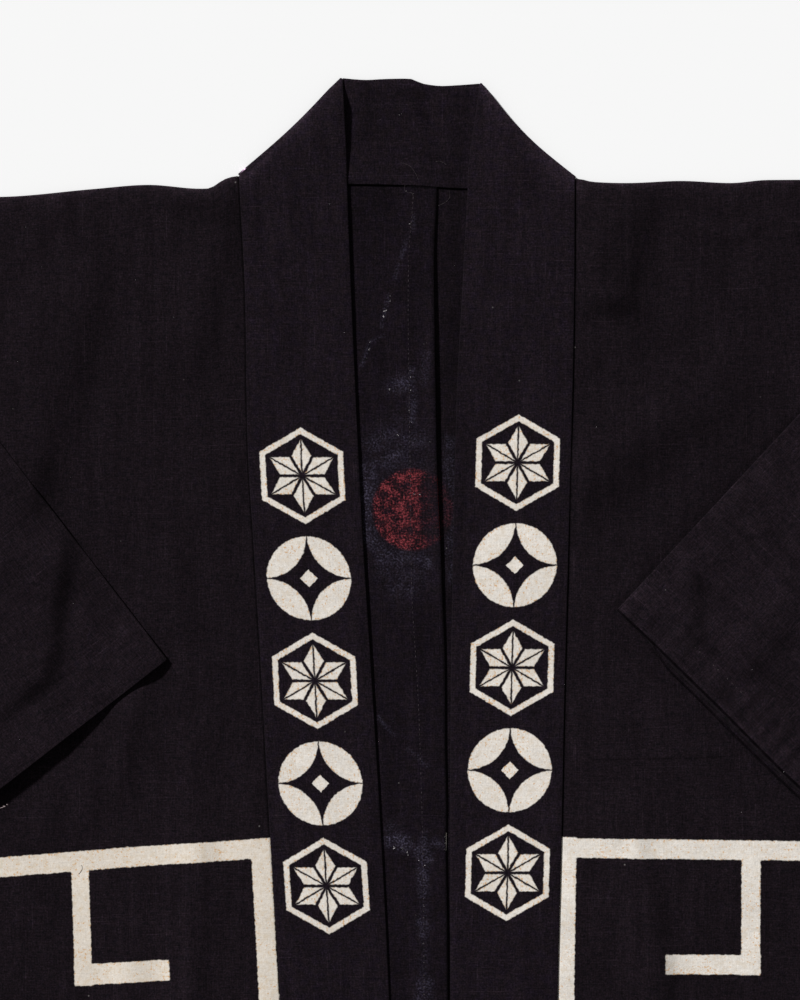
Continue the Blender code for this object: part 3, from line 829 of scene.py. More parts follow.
def bandStations(side):  # the band's cross lines: up its front, over the mitre, behind the neck
    mitre = mitres[side]
    cornerY = mitre["corner"][1]
    stations = []

    def add(seam, edge, turn, hollow, drop):
        stations.append({"seam": seam, "edge": edge, "turn": turn, "hollow": hollow,
                         "drop": drop, "side": side})

    for step in range(band["rows"], -1, -1):
        drop = coat["length"] * step / band["rows"]
        footX = float(bandAt(side, "seam", drop)) - side * coat["gap"] / 2
        edgeX = float(bandAt(side, "edge", drop))
        foot = Vector((footX, float(rowY(footX, drop))))
        add(foot, Vector((edgeX, float(rowY(edgeX, drop)))), math.pi, 0.0, drop)
    foot, tip = stations[-1]["seam"], stations[-1]["edge"]
    neck = neckFoot(foot.x)
    for step in range(1, band["fanRows"] + 1):
        share = step / band["fanRows"]
        edgeY = mix(tip.y, cornerY, share)
        edge = Vector((float(bandAt(side, "edge", -edgeY)), edgeY))
        add(foot.lerp(neck, share), edge, math.pi, mitre["hollow"] * float(ease(share)), -edgeY * share)
    foot, tip = stations[-1]["seam"], stations[-1]["edge"]
    across = (tip - foot).normalized()
    for step in range(1, band["rollRows"] + 1):
        add(foot, tip, math.pi * (1 - step / band["rollRows"]), mitre["hollow"], 0.0)
    for step in range(1, band["fanRows"] + 1):
        share = step / band["fanRows"]
        headX = tip.x - side * band["headIn"] * share
        footX = mix(foot.x, headX, share)
        add(neckFoot(footX), neckHead(headX), 0.0, mitre["hollow"] * (1 - share), 0.0)
    for station in stations:
        station["out"] = Vector((-across.y, across.x)) * (-side)
    return stations, (tuple(foot), tuple(tip))


def napeStations(start, end):
    stations = []
    for step in range(1, band["napeRows"]):
        x = mix(start, end, step / band["napeRows"])
        stations.append({"seam": neckFoot(x), "edge": neckHead(x), "turn": 0.0, "hollow": 0.0,
                         "drop": 0.0, "side": 0, "out": Vector((0, 1))})
    return stations


def makeCollar(name):
    halves, lines = {}, {}
    for side in (-1, 1):
        halves[side], lines[side] = bandStations(side)
    nape = napeStations(halves[-1][-1]["seam"].x, halves[1][-1]["seam"].x)
    stations = halves[-1] + nape + list(reversed(halves[1]))
    layer, edges = band["layerColumns"], band["edgeColumns"]
    wall = coat["wall"]
    column = {key: np.array([station[key] for station in stations]) for key in stations[0]}
    widths = np.linalg.norm(column["edge"] - column["seam"], axis=1)

    def bandHeight(key, flat, distance, width, turns):  # on one front, and over its mitre
        (ax, ay), (bx, by) = lines[key]
        runX, runY = bx - ax, by - ay
        length = math.hypot(runX, runY)
        away = np.abs(runX * (flat[:, 1] - ay) - runY * (flat[:, 0] - ax)) / length
        up = np.clip((runX * (flat[:, 0] - ax) + runY * (flat[:, 1] - ay)) / length**2, 0, 1)
        start, reach, loss = band["tip"]
        radius = mix(band["neckRadius"], mitres[key]["radius"], up) * (1 - loss * ease((up - start) / reach))
        wave = 0
        for down, long, rise in zip(*bandWaves[key].values()):
            wave = wave + rise * np.exp(-(((-flat[:, 1] - down) / long) ** 2))
        share = np.clip(distance / width, 0, 1)
        free = lookUp(bandEdges[key], "z", flat[:, 1])
        lying = mix(band["lying"], free, ease(share * band["settle"])) + wave * np.sin(np.pi * share)
        front = mix(band["nape"] + 2 * radius, lying, ease(away / mitres[key]["fall"]))
        return front, band["nape"] + radius - radius * np.cos(turns), radius

    def place(across, row):
        at = row.astype(int)
        part, turn = tubeRing(across, layer, edges)
        shares = [across / layer, 1 + 0 * across, 1 - (across - layer - edges) / layer]
        share = np.select(part, shares, 0.0)
        side, turns, drops, outs = (column[key][at] for key in ("side", "turn", "drop", "out"))
        seams, tips, width = column["seam"][at], column["edge"][at], widths[at]
        half = np.zeros(len(across))
        for key, thick in band["thick"].items():
            half = np.where(side == key, curve(np.linspace(0, 1, len(thick)), thick, share), half)
        above, thinner = band["hemThin"]
        half = half * (1 - thinner * ease((drops - coat["length"] + above) / above))
        distance = band["inset"] + wall / 2 + share * (width - band["free"] - band["inset"] - wall)
        distance = distance + half * np.sin(turn)
        heading = (tips - seams) / width[:, None]
        inwards = np.column_stack((heading[:, 1], -heading[:, 0]))
        inwards = inwards * np.where(inwards[:, 1] > 0, -1, 1)[:, None]
        bow = column["hollow"][at] * np.sin(np.pi * np.clip(distance / width, 0, 1))
        flat = seams + heading * distance[:, None] + inwards * bow[:, None]
        z = mix(band["napeSeam"], band["nape"], ease(distance / band["napeEase"]))
        before = turns > 3.1415  # before the mitre's fold
        for key in (-1, 1):
            front, rolled, radius = bandHeight(key, flat, distance, width, turns)
            z = np.where((side == key) & before, front, z)
            rolling = (side == key) & ~before & (turns > 0)
            z = np.where(rolling, rolled, z)
            flat = flat + outs * (np.where(rolling, radius * np.sin(turns), 0.0))[:, None]
        offset = half * np.cos(turn)
        x = flat[:, 0] + outs[:, 0] * np.sin(turns) * offset
        y = flat[:, 1] + outs[:, 1] * np.sin(turns) * offset
        z = z - np.cos(turns) * offset
        onFront = (side != 0) & (turns > 1.5)  # the chart changes half way over the mitre's fold
        firstX = np.where(side < 0, bandSeams[-1]["seam"][0], bandSeams[1]["seam"][0])
        u = np.where(onFront, side * (np.abs(firstX) - flat[:, 1]), flat[:, 0])
        v = np.where(onFront, distance, flat[:, 1] + band["chart"])
        v = np.where(onFront & (drops < 0.01), side * (firstX - flat[:, 0]), v)
        v = np.where(turn > 0, 2 * band["width"] - v, v)
        bent = mix(distance, 2 * band["width"] - distance, turn / np.pi)
        v = np.where((turn > 0) & (turn < np.pi), bent, v)
        return x, y, z, u, v

    return clothGrid(name, 2 * (layer + edges), len(stations) - 1, place, closed=True)


pieces = {
    "body_left": makeBody(-1, "cloth_body_left"),
    "body_right": makeBody(1, "cloth_body_right"),
    "sleeve_left": makeSleeve(-1, "cloth_sleeve_left"),
    "sleeve_right": makeSleeve(1, "cloth_sleeve_right"),
    "collar": makeCollar("cloth_band"),
}
print("cloth laid out:", {name: len(piece.data.polygons) for name, piece in pieces.items()})


# Finds the upper or the lower side of the cloth at a place, by looking straight down or up.
clothTrees = {}
bpy.context.view_layer.update()
for pieceName, clothPiece in pieces.items():
    clothTrees[pieceName] = BVHTree.FromObject(clothPiece, bpy.context.evaluated_depsgraph_get())


def surfaceAt(x, y, names=tuple(pieces), above=True):
    down = -1 if above else 1
    start = Vector(((x + napeX) * mm, (y + napeY) * mm, -0.03 * down))
    found = [clothTrees[name].ray_cast(start, Vector((0, 0, down))) for name in names]
    found = [hit for hit in found if hit[0] is not None]
    return min(found, key=lambda hit: hit[3])[0] if found else None


def lay(line, step):  # evenly spaced places along a line of points, with their directions
    spots = []
    spare = 0.0
    for start, end in zip(line, line[1:]):
        length = math.dist(start, end)
        angle = math.atan2(end[1] - start[1], end[0] - start[0])
        at = spare
        while at < length:
            share = at / length
            spots.append((mix(start[0], end[0], share), mix(start[1], end[1], share), angle))
            at += step
        spare = at - length
    return spots


# Hand sewing: each kind of stitch, and what it follows.
sewing = {
    "thick": 0.30,
    "darkThread": {"stitch": 2.4, "step": 3.9},
    "seamThread": {"stitch": 1.9, "step": 2.6},
    "paleThread": {"stitch": 1.0, "step": 3.4},
    "cuffInset": 14.5,
    "hemInset": 13.0,
    "cuffPoints": 60,
    "seamPoints": 6.0,  # from one point of the centre back's line to the next
}


def cuffLine(side, first, last):  # a cuff's stitching, from one drop to another
    line = []
    inset = sewing["cuffInset"]
    for drop in np.linspace(first, last, sewing["cuffPoints"]):
        x = np.array([sideEdge(side) + side * (sleeve["width"] - inset)])
        top = float(shoulderRise(side * sleeveFolds[side]["start"]))
        spot = foldedSleeve(side, x, np.array([top - drop]), np.array([drop]),
                            np.array([heights["back"]]), np.array([inset]))
        line.append((float(spot[0][0]), float(spot[1][0])))
    return line


def seamLine(first, last):
    return [(float(seamX(drop)), -drop) for drop in np.arange(first, last, sewing["seamPoints"])]


def hemLine(side, endX):
    y = -coat["length"] + sewing["hemInset"]
    return [(sideEdge(side) - side * 2, y), (endX, y)]


sewnLines = [
    {"on": "sleeve_left", "thread": "darkThread", "line": cuffLine(-1, 2.0, sleeve["depth"] - 4)},
    {"on": "sleeve_right", "thread": "darkThread", "line": cuffLine(1, 2.0, sleeve["depth"] - 4)},
    {"on": "sleeve_right", "thread": "paleThread", "line": cuffLine(1, 44.0, 78.0)},
    {"on": "body_left", "thread": "seamThread", "line": seamLine(6, 352)},
    {"on": "body_left", "thread": "paleThread", "line": seamLine(352, 776)},
]
for side, name in ((-1, "body_left"), (1, "body_right")):
    frontEnd = float(bandAt(side, "seam", coat["length"])) + side * 3
    backEnd = float(seamX(coat["length"])) + side * 4
    sewnLines.append({"on": name, "thread": "darkThread", "line": hemLine(side, frontEnd)})
    sewnLines.append({"on": name, "thread": "darkThread", "line": hemLine(side, backEnd), "below": True})


def addBead(shape, spot, angle, *size):
    place = Matrix.Translation(spot) @ Matrix.Rotation(angle, 4, "Z") @ Matrix.Diagonal((*size, 1))
    bmesh.ops.create_icosphere(shape, subdivisions=1, radius=1.0, matrix=place)


def makeStitches(thread):
    whole = bmesh.new()
    kind = sewing[thread]
    size = (kind["stitch"] / 2 * mm, sewing["thick"] / 2 * mm, sewing["thick"] / 3 * mm)
    for row in sewnLines:
        if row["thread"] != thread:
            continue
        shape = bmesh.new()
        for x, y, angle in lay(row["line"], kind["step"]):
            spot = surfaceAt(x, y, (row["on"],), not row.get("below"))
            if spot:
                addBead(shape, spot, angle, *size)
        part = meshOf(shape, "row")
        whole.from_mesh(part)
        bpy.data.meshes.remove(part)
    mesh = meshOf(whole, thread)
    mesh.shade_smooth()
    return addPiece("stitches_" + thread, mesh)


# Lint: where, how big, how many bits, and how far they are spread.
lintSpots = [
    (-10.1, -58.1, 0.45, 2), (-10.4, -61.0, 0.4, 2), (-12.8, -66.3, 0.8, 5), (-13.4, -69.0, 0.6, 4),
    (-20.9, -82.8, 0.4, 2), (-21.2, -86.4, 0.5, 3), (-22.4, -91.0, 0.35, 2), (8.0, -83.7, 0.4, 1),
    (0.6, -97.6, 0.45, 2), (1.2, -101.3, 0.5, 2), (0.2, -105.5, 0.35, 1), (1.0, -108.2, 0.45, 2),
    (-10.4, -107.8, 0.65, 4), (0.1, -119.0, 0.4, 2), (1.6, -125.3, 0.4, 2), (-5.8, -132.2, 0.45, 2),
    (-2.6, -138.6, 0.4, 1), (11.2, -135.9, 0.35, 1), (2.7, -163.6, 0.55, 2), (5.9, -163.6, 0.5, 2),
    (9.4, -83.2, 0.3, 1), (-4.3, 38.4, 0.5, 2), (-15.4, 35.7, 0.35, 1), (-42.1, -9.1, 0.35, 2),
    (-34.4, -77.6, 0.4, 1), (24.2, -42.0, 0.3, 1), (-8.0, -352.0, 0.7, 3), (-3.7, -352.4, 0.7, 3),
    (-1.1, -354.6, 0.55, 2), (-0.5, -355.8, 0.5, 2), (5.3, -358.6, 0.45, 2), (8.5, -361.4, 0.45, 2),
    (19.2, -345.9, 0.5, 2), (19.2, -349.6, 0.45, 1), (18.9, -352.9, 0.4, 1), (8.0, -383.5, 0.4, 1),
    (7.5, -403.0, 0.35, 1), (3.6, -388.0, 0.35, 1), (-8.4, -284.6, 0.4, 1), (0.4, -19.5, 0.35, 3),
    (-1.6, -2.4, 0.3, 4), (2.0, -3.6, 0.3, 3), (182.3, -256.9, 0.5, 1), (199.3, -311.3, 0.5, 1),
    (177.0, -333.1, 0.45, 1), (-180.2, -154.6, 0.45, 1), (-178.4, -222.0, 0.4, 1),
    (-125.3, -69.6, 0.55, 1), (-145.5, -49.6, 0.35, 1), (-204.1, -21.3, 0.4, 2), (-195.6, -42.6, 0.45, 1),
    (-208.4, -93.3, 0.4, 2), (-153.5, -188.7, 0.35, 1), (99.7, -128.0, 0.3, 1), (187.0, -112.0, 0.3, 2),
]

# How the bits of one place are spread, stretched, sized and turned by chance, and how flat they are.
bits = {"spread": 0.5, "stretch": (0.5, 1.3), "size": (0.55, 1.0), "turn": (0, 3.1), "flat": 0.6}

# A scrap of pale pink thread caught under the left cuff.
scrapSpots = [(-217.0, -330.6, 1.5, 1), (-215.6, -329.9, 1.7, 1), (-214.0, -329.0, 1.3, 1)]


def makeBits(name, spots, seed):
    rng = np.random.default_rng(seed)
    shape = bmesh.new()
    for x, y, size, count in spots:
        for _ in range(count):
            dx, dy = rng.normal(0, bits["spread"], 2) * (size if count > 1 else 0)
            spot = surfaceAt(x + dx, y + dy)
            stretch = rng.uniform(*bits["stretch"])
            scale = size * rng.uniform(*bits["size"]) / 2 * mm
            angle = rng.uniform(*bits["turn"])
            if spot:
                addBead(shape, spot, angle, scale * stretch, scale / stretch, scale * bits["flat"])
    mesh = meshOf(shape, name)
    mesh.shade_smooth()
    return addPiece(name, mesh)


# Loose ends of thread, lying on the cloth.
looseThreads = {
    "thick": 0.16,
    "lift": 0.12,
    "lines": [
        ((-4.8, 12.8), (-1.0, 12.2), (1.6, 10.1), (3.6, 7.0), (4.8, 4.8), (5.3, 0.5)),
        ((21.3, -1.6), (22.0, -4.0), (21.4, -6.6), (19.2, -8.5), (15.5, -10.1)),
        ((-2.0, 1.0), (-3.0, -1.5), (-0.5, -3.4), (1.5, -2.6), (2.4, -5.0)),
        ((14.2, 13.4), (18.0, 14.0), (20.0, 11.5)),
        ((-176.0, -366.0), (-173.0, -363.4), (-174.6, -361.0)),
    ],
}


def makeThreads(name):
    strand = bpy.data.curves.new(name, "CURVE")
    strand.dimensions = "3D"
    strand.bevel_depth = looseThreads["thick"] / 2 * mm
    strand.bevel_resolution = 1
    strand.resolution_u = 5
    strand.use_fill_caps = True
    for line in looseThreads["lines"]:
        spline = strand.splines.new("NURBS")
        spline.points.add(len(line) - 1)
        for point, (x, y) in zip(spline.points, line):
            spot = surfaceAt(x, y)
            point.co = (spot.x, spot.y, spot.z + looseThreads["lift"] * mm, 1)
        spline.use_endpoint_u = True
        spline.order_u = 3
    source = addPiece(name + "_line", strand)
    graph = bpy.context.evaluated_depsgraph_get()
    mesh = bpy.data.meshes.new_from_object(source.evaluated_get(graph))
    bpy.data.objects.remove(source, do_unlink=True)
    weld(mesh, 0.000002)
    return addPiece(name, mesh)


trims = {
    "darkThread": makeStitches("darkThread"),
    "seamThread": makeStitches("seamThread"),
    "paleThread": makeStitches("paleThread"),
    "lint": makeBits("lint", lintSpots, 41),
    "scrap": makeBits("thread_scrap", scrapSpots, 43),
    "looseThread": makeThreads("loose_threads"),
}
print("sewing and lint:", {name: len(item.data.polygons) for name, item in trims.items()})


studio = {
    "view": (-4.8, -166.8),  # middle of the view, from the nape
    "viewHeight": 533.0,
    "distance": 2400.0,
    "keyFrom": (-0.76, 0.65),
    "keyRise": 39.0,
    "keySize": 6.0,
    "keyStrength": 4.135,
    "fill": 0.205,
    "floorTone": 0.90,
    "floorDrop": 0.1,
    "floorReach": 9.0,  # metres
    "sensor": 36.0,
}


def makeFloor():
    shape = bmesh.new()
    down = Matrix.Translation((0, 0, -studio["floorDrop"] * mm))
    bmesh.ops.create_grid(shape, x_segments=1, y_segments=1, size=studio["floorReach"], matrix=down)
    mesh = meshOf(shape, "floor")
    paper, _, shader = newMaterial("floorPaper")
    tone = studio["floorTone"]
    shader.inputs["Base Color"].default_value = (tone, tone, tone, 1)
    shader.inputs["Roughness"].default_value = 1.0
    shader.inputs["Specular IOR Level"].default_value = 0.0
    mesh.materials.append(paper)
    addPiece("floor", mesh)


def makeCamera():
    camera = bpy.data.cameras.new("camera")
    camera.sensor_width = studio["sensor"]
    camera.lens = studio["sensor"] * studio["distance"] / studio["viewHeight"]
    camera.clip_start = 0.05
    camera.clip_end = 20.0
    eye = addPiece("camera", camera)
    viewX, viewY = studio["view"]
    eye.location = ((viewX + napeX) * mm, (viewY + napeY) * mm, studio["distance"] * mm)
    bpy.context.scene.camera = eye


def makeLights():
    scene = bpy.context.scene
    scene.view_settings.view_transform = "Standard"
    key = bpy.data.lights.new("key", "SUN")
    key.energy = studio["keyStrength"]
    key.angle = math.radians(studio["keySize"])
    rise = math.radians(studio["keyRise"])
    fromX, fromY = studio["keyFrom"]
    flat = math.hypot(fromX, fromY)
    toLight = Vector((fromX / flat * math.cos(rise), fromY / flat * math.cos(rise), math.sin(rise)))
    addPiece("key", key).rotation_euler = toLight.to_track_quat("Z", "Y").to_euler()
    world = bpy.data.worlds.new("softRoom")
    world.use_nodes = True
    room = world.node_tree.nodes["Background"]
    room.inputs["Color"].default_value = (1, 1, 1, 1)
    room.inputs["Strength"].default_value = studio["fill"]
    scene.world = world


makeFloor()
makeCamera()
makeLights()
print("studio set")


# Materials: small helpers that add a node and give back a socket of it.
def feed(slot, value):
    if isinstance(value, bpy.types.NodeSocket):
        slot.id_data.links.new(value, slot)
    else:
        slot.default_value = value


def addNode(kind, values, **settings):  # the values go into its inputs, by number or name
    tree = next(value.id_data for value in values.values() if isinstance(value, bpy.types.NodeSocket))
    item = tree.nodes.new("ShaderNode" + kind)
    for name, setting in settings.items():
        setattr(item, name, setting)
    for slot, value in values.items():
        feed(item.inputs[slot], value)
    return item


def calc(operation, *values, clamp=False):
    item = addNode("Math", dict(enumerate(values)), operation=operation, use_clamp=clamp)
    return item.outputs[0]


def plus(first, *others):
    for other in others:
        first = calc("ADD", first, other)
    return first


def times(first, *others):
    for other in others:
        first = calc("MULTIPLY", first, other)
    return first


def minus(first, second):
    return calc("SUBTRACT", first, second)


def sway(value, amount):  # a noise's swing to both sides of none
    return times(minus(value, 0.5), amount)


def vector(operation, *values):
    item = addNode("VectorMath", dict(enumerate(values)), operation=operation)
    return item.outputs["Value" if operation in ("LENGTH", "DISTANCE") else "Vector"]


def split(place):
    return addNode("SeparateXYZ", {0: place}).outputs[:2]


def join(x, y):
    return addNode("CombineXYZ", {0: x, 1: y}).outputs[0]


def noise(place, size, detail, shift):  # size of its patches across and along
    spot = addNode("Mapping", {
        "Vector": place, "Location": (shift, shift * 1.7, 0), "Scale": (1 / size[0], 1 / size[1], 1),
    })
    return addNode("TexNoise", {"Vector": spot.outputs[0], "Scale": 1.0, "Detail": detail}).outputs[0]


def ramp(value, low, high, start=0.0, end=1.0):
    values = dict(enumerate((value, low, high, start, end)))
    return addNode("MapRange", values, interpolation_type="SMOOTHSTEP").outputs[0]


def blend(share, first, second, way="MIX"):
    first, second = ((*side, 1) if isinstance(side, tuple) else side for side in (first, second))
    values = {"Factor": share, 6: first, 7: second}
    return addNode("Mix", values, data_type="RGBA", blend_type=way).outputs[2]


def toned(colour, tone):  # darker where the tone is below 1, lighter above
    grey = addNode("CombineColor", {0: tone, 1: tone, 2: tone}).outputs[0]
    return blend(1.0, colour, grey, "MULTIPLY")


def readMark(tree, name):
    item = tree.nodes.new("ShaderNodeAttribute")
    item.attribute_name = name
    return item.outputs["Fac"]


cloth = {
    "thread": 0.46,  # from one thread to the next
    "black": (0.0079, 0.0051, 0.0075),
    "brown": (0.0096, 0.0064, 0.0082),  # worn and dusted with lint
    "grey": (0.0070, 0.0058, 0.0076),
    "indigo": (0.0080, 0.0053, 0.0100),
    "brownFrom": (0.30, 0.60),  # where the mottle turns from grey to brown
    "blackFrom": (0.35, 0.65),  # where the grain turns to black
    "crossing": 0.35,  # how softly one thread passes over the next
    "level": -0.1,  # of the whole weave, as a power of e
    # how strongly each part of the weave shows
    "threads": 2.1,
    "grain": 3.0,
    "mottle": 0.75,
    "patches": 0.42,
    "streaks": 0.75,
    "slubs": 0.5,
    "slubsFrom": (0.68, 0.86),
    "blotch": 2.2,  # of each cloth's own
    "dye": 2.4,
    "lint": 0.35,
    "lintEvery": 13.0,
    "lintColour": (0.30, 0.28, 0.27),
    "lintSize": (0.018, 0.045),  # in shares of a cell
    "lintCells": (0.78, 1.0),  # which cells have it
    "rim": ((0.55, 0.8), (0.95, 3.7)),  # painted light, brighter at folded edges: how much, and how far in
    "relief": 0.10,
    "reliefOf": {"grain": 0.9, "threads": 0.7, "crossings": 0.3},
    "finish": {"Roughness": 0.93, "Specular IOR Level": 0.03, "Sheen Weight": 0.02, "Sheen Roughness": 0.5},
}

# The noises of the weave, which turn with it, and those of the wear: the size of their patches
# across and along, their detail, and how far from the cloth's own seed they are taken.
weaveNoises = {
    "warp": ((0.62, 7.0), 1.0, 0.0),
    "weft": ((7.0, 0.62), 1.0, 3.1),
    "grain": ((0.95, 0.95), 2.0, 5.3),
    "longWarp": ((0.7, 34.0), 0.0, 8.0),
    "longWeft": ((34.0, 0.7), 0.0, 9.4),
    "streaks": ((5.0, 60.0), 2.0, 1.4),
    "patches": ((16.0, 20.0), 3.0, 2.2),
}
wearNoises = {
    "mottle": ((2.6, 2.6), 2.0, 6.6),
    "blotch": ((13.0, 11.0), 2.0, 12.7),
    "dye": ((4.0, 5.0), 3.0, 15.0),
}

# How light each cloth is, how blotched, how far it turns to indigo, how yellowed its print is, and
# whether its threads run the other way.
looks = {
    "bodyLeft": {"tone": 0.975, "seed": 2.0, "blotch": 0.12, "indigo": -0.2, "aged": 0.28},
    "bodyRight": {"tone": 0.945, "seed": 4.0, "blotch": 0.15, "indigo": -0.2},
    "insideLeft": {"tone": 0.86, "seed": 10.0, "blotch": 0.2, "indigo": 0.3},
    "insideRight": {"tone": 0.86, "seed": 12.0, "blotch": 0.2, "indigo": 0.15},
    "sleeveLeft": {"tone": 0.96, "seed": 23.0, "blotch": 0.25, "indigo": -0.2},
    "sleeveRight": {"tone": 1.15, "seed": 57.0, "blotch": 0.4, "indigo": -0.2},
    "sleeveInsideLeft": {"tone": 0.95, "seed": 31.0, "blotch": 0.2, "indigo": 0.0},
    "sleeveInsideRight": {"tone": 0.95, "seed": 37.0, "blotch": 0.2, "indigo": 0.0},
    "band": {"tone": 1.09, "seed": 17.0, "blotch": 0.15, "indigo": 0.2, "turned": True},
    "cuffShade": {"tone": 0.5, "seed": 61.0, "blotch": 0.2, "indigo": 0.0, "sheen": 0.0},
    "bandInside": {"tone": 1.0, "seed": 41.0, "blotch": 0.2, "indigo": 0.2, "turned": True},
}


def clothNodes(name, lookName):
    look = looks[lookName]
    material, tree, shader = newMaterial(name)
    chart = tree.nodes.new("ShaderNodeUVMap")
    chart.uv_map = "cloth"
    place = chart.outputs[0]
    u, v = split(place)
    seed = look["seed"]
    # warp threads run along v and weft threads along u; which is on top goes by turns
    weave = join(v, u) if look.get("turned") else place
    clouds = {key: noise(weave, size, detail, seed + far) for key, (size, detail, far) in weaveNoises.items()}
    for key, (size, detail, far) in wearNoises.items():
        clouds[key] = noise(place, size, detail, seed + far)
    pitch = math.pi / cloth["thread"]
    over = times(*(calc("SINE", times(axis, pitch)) for axis in (u, v)))
    onTop = ramp(over, -cloth["crossing"], cloth["crossing"])
    warp, weft, grain, mottle = (clouds[key] for key in ("warp", "weft", "grain", "mottle"))
    clouds["threads"] = threads = plus(warp, times(onTop, minus(weft, warp)))
    slubs = calc("MAXIMUM", clouds["longWarp"], clouds["longWeft"])
    swings = [sway(clouds[key], cloth[key]) for key in ("threads", "grain", "mottle", "patches", "streaks")]
    slubs = ramp(slubs, *cloth["slubsFrom"], 0.0, cloth["slubs"])
    blotch = sway(clouds["blotch"], cloth["blotch"] * look["blotch"])
    level = calc("EXPONENT", plus(cloth["level"], *swings, slubs, blotch))
    # painted light on folded edges, and the painted shade and light of the tone mark
    rim = readMark(tree, "rim")
    paintedRimLight = [times(calc("EXPONENT", calc("DIVIDE", rim, -far)), much) for much, far in cloth["rim"]]
    tone = times(readMark(tree, "tone"), plus(1.0, *paintedRimLight))
    level = times(level, times(tone, look["tone"]))
    hue = blend(ramp(mottle, *cloth["brownFrom"]), cloth["grey"], cloth["brown"])
    hue = blend(ramp(grain, *cloth["blackFrom"]), hue, cloth["black"])
    dyed = plus(look["indigo"], sway(clouds["dye"], cloth["dye"]))
    hue = blend(calc("MULTIPLY", dyed, 1.0, clamp=True), hue, cloth["indigo"])
    dark = toned(hue, level)
    # a few specks of lint: one in some of the cells
    shifted = vector("ADD", place, (seed * 7, seed * 3, 0))
    cells = addNode("TexVoronoi", {"Vector": shifted, "Scale": 1 / cloth["lintEvery"]})
    pick = addNode("SeparateColor", {0: cells.outputs["Color"]}).outputs[0]
    dot = ramp(cells.outputs["Distance"], *cloth["lintSize"], cloth["lint"], 0.0)
    dark = blend(times(dot, ramp(pick, *cloth["lintCells"])), dark, cloth["lintColour"])
    parts = {"grain": grain, "threads": threads, "crossings": calc("ABSOLUTE", over)}
    relief = plus(*(times(parts[key], share) for key, share in cloth["reliefOf"].items()))
    bump = addNode("Bump", {"Strength": 1.0, "Distance": cloth["relief"] * mm, "Height": relief})
    feed(shader.inputs["Normal"], bump.outputs[0])
    for slot, value in cloth["finish"].items():
        shader.inputs[slot].default_value = value
    shader.inputs["Sheen Weight"].default_value = look.get("sheen", cloth["finish"]["Sheen Weight"])
    feed(shader.inputs["Base Color"], dark)
    return {"material": material, "tree": tree, "place": place, "dark": dark, "aged": look.get("aged", 0.0),
            "colour": shader.inputs["Base Color"], **clouds}


def painted(nodes, colour):  # gives the cloth its finished colour
    feed(nodes["colour"], colour)
    return nodes["material"]


printInk = {
    "cream": (0.690, 0.645, 0.590),
    "tan": (0.60, 0.50, 0.38),
    "foxing": (0.56, 0.30, 0.10),
    "grain": 0.48,
    "threads": 0.48,
    "mottle": 0.22,
    "patches": 0.36,
    "worn": (0.16, 0.34, 0.55, 1.0),  # thin where the grain is low: from, to, and how much is left
    "yellowFrom": (0.44, 0.68),
    "yellowed": 0.42,
    "foxFrom": (0.61, 0.75),
    "foxed": 0.70,
    "foxClusters": 0.44,
    "foxRim": (0.1, 2.0, 0.05, 0.0),  # more of it at the print's edges
    "wander": 1.1,  # how far its edges wander
    "edge": 0.35,
    "corner": 1.4,  # radius of its corners
}


def wander(nodes):  # a place that wanders a little, as ink does along threads
    fine = addNode("TexNoise", {"Vector": nodes["place"], "Scale": 0.5, "Detail": 1.5})
    push = vector("SUBTRACT", fine.outputs["Color"], (0.5, 0.5, 0.5))
    far = printInk["wander"]
    return vector("ADD", nodes["place"], vector("MULTIPLY", push, (far, far, 0)))


def barDepth(place, bars, corner=0.0):  # how deep inside the nearest of some straight bars
    best = None
    for (startX, startY), (endX, endY), width in bars:
        item = addNode("Mapping", {
            "Vector": place, "Location": ((startX + endX) / 2, (startY + endY) / 2, 0),
            "Rotation": (0, 0, math.atan2(endY - startY, endX - startX)),
        }, vector_type="TEXTURE")
        size = (math.dist((startX, startY), (endX, endY)) / 2, width / 2, 0)
        room = vector("SUBTRACT", size, vector("ABSOLUTE", item.outputs[0]))
        depth = calc("SMOOTH_MIN", *split(room), corner)
        best = depth if best is None else calc("SMOOTH_MAX", best, depth, corner)
    return best


# The printed fret: its bars' ends and widths, on the fronts in x and y.
fretBars = {
    -1: [
        ((-74.0, -352.9), (-150.0, -357.8), 10.3),
        ((-149.0, -357.8), (-316.0, -371.0), 10.4),
        ((-79.2, -348.0), (-74.6, -433.0), 10.4),
        ((-74.7, -431.0), (-66.0, -566.0), 10.4),
        ((-175.4, -360.0), (-173.2, -426.2), 9.2),
        ((-178.0, -420.7), (-127.6, -417.8), 11.0),
        ((-62.0, -561.0), (-316.0, -574.0), 10.4),
        ((-124.5, -564.0), (-127.5, -474.0), 9.6),
        ((-122.8, -478.6), (-178.0, -481.8), 10.4),
    ],
    1: [
        ((81.0, -352.8), (322.0, -356.0), 10.3),
        ((83.9, -347.2), (82.6, -433.0), 10.5),
        ((82.6, -431.0), (81.5, -566.0), 10.5),
        ((182.2, -354.0), (181.9, -420.4), 10.0),
        ((187.0, -415.2), (136.4, -414.9), 10.4),
        ((76.5, -561.0), (322.0, -563.0), 10.5),
        ((133.5, -562.0), (132.0, -474.0), 9.8),
        ((127.2, -478.4), (184.0, -478.9), 10.4),
    ],
}

# The back's, across from the middle and down.
backBars = [
    ((0.0, 350.0), (322.0, 355.0), 10.5),
    ((0.0, 563.0), (322.0, 568.0), 10.5),
    ((84.0, 346.0), (84.0, 566.0), 10.5),
    ((182.0, 351.0), (182.0, 415.0), 10.0),
    ((187.0, 409.5), (136.0, 409.5), 10.5),
    ((133.0, 566.0), (133.0, 474.0), 10.0),
    ((128.0, 479.0), (184.0, 479.0), 10.5),
]

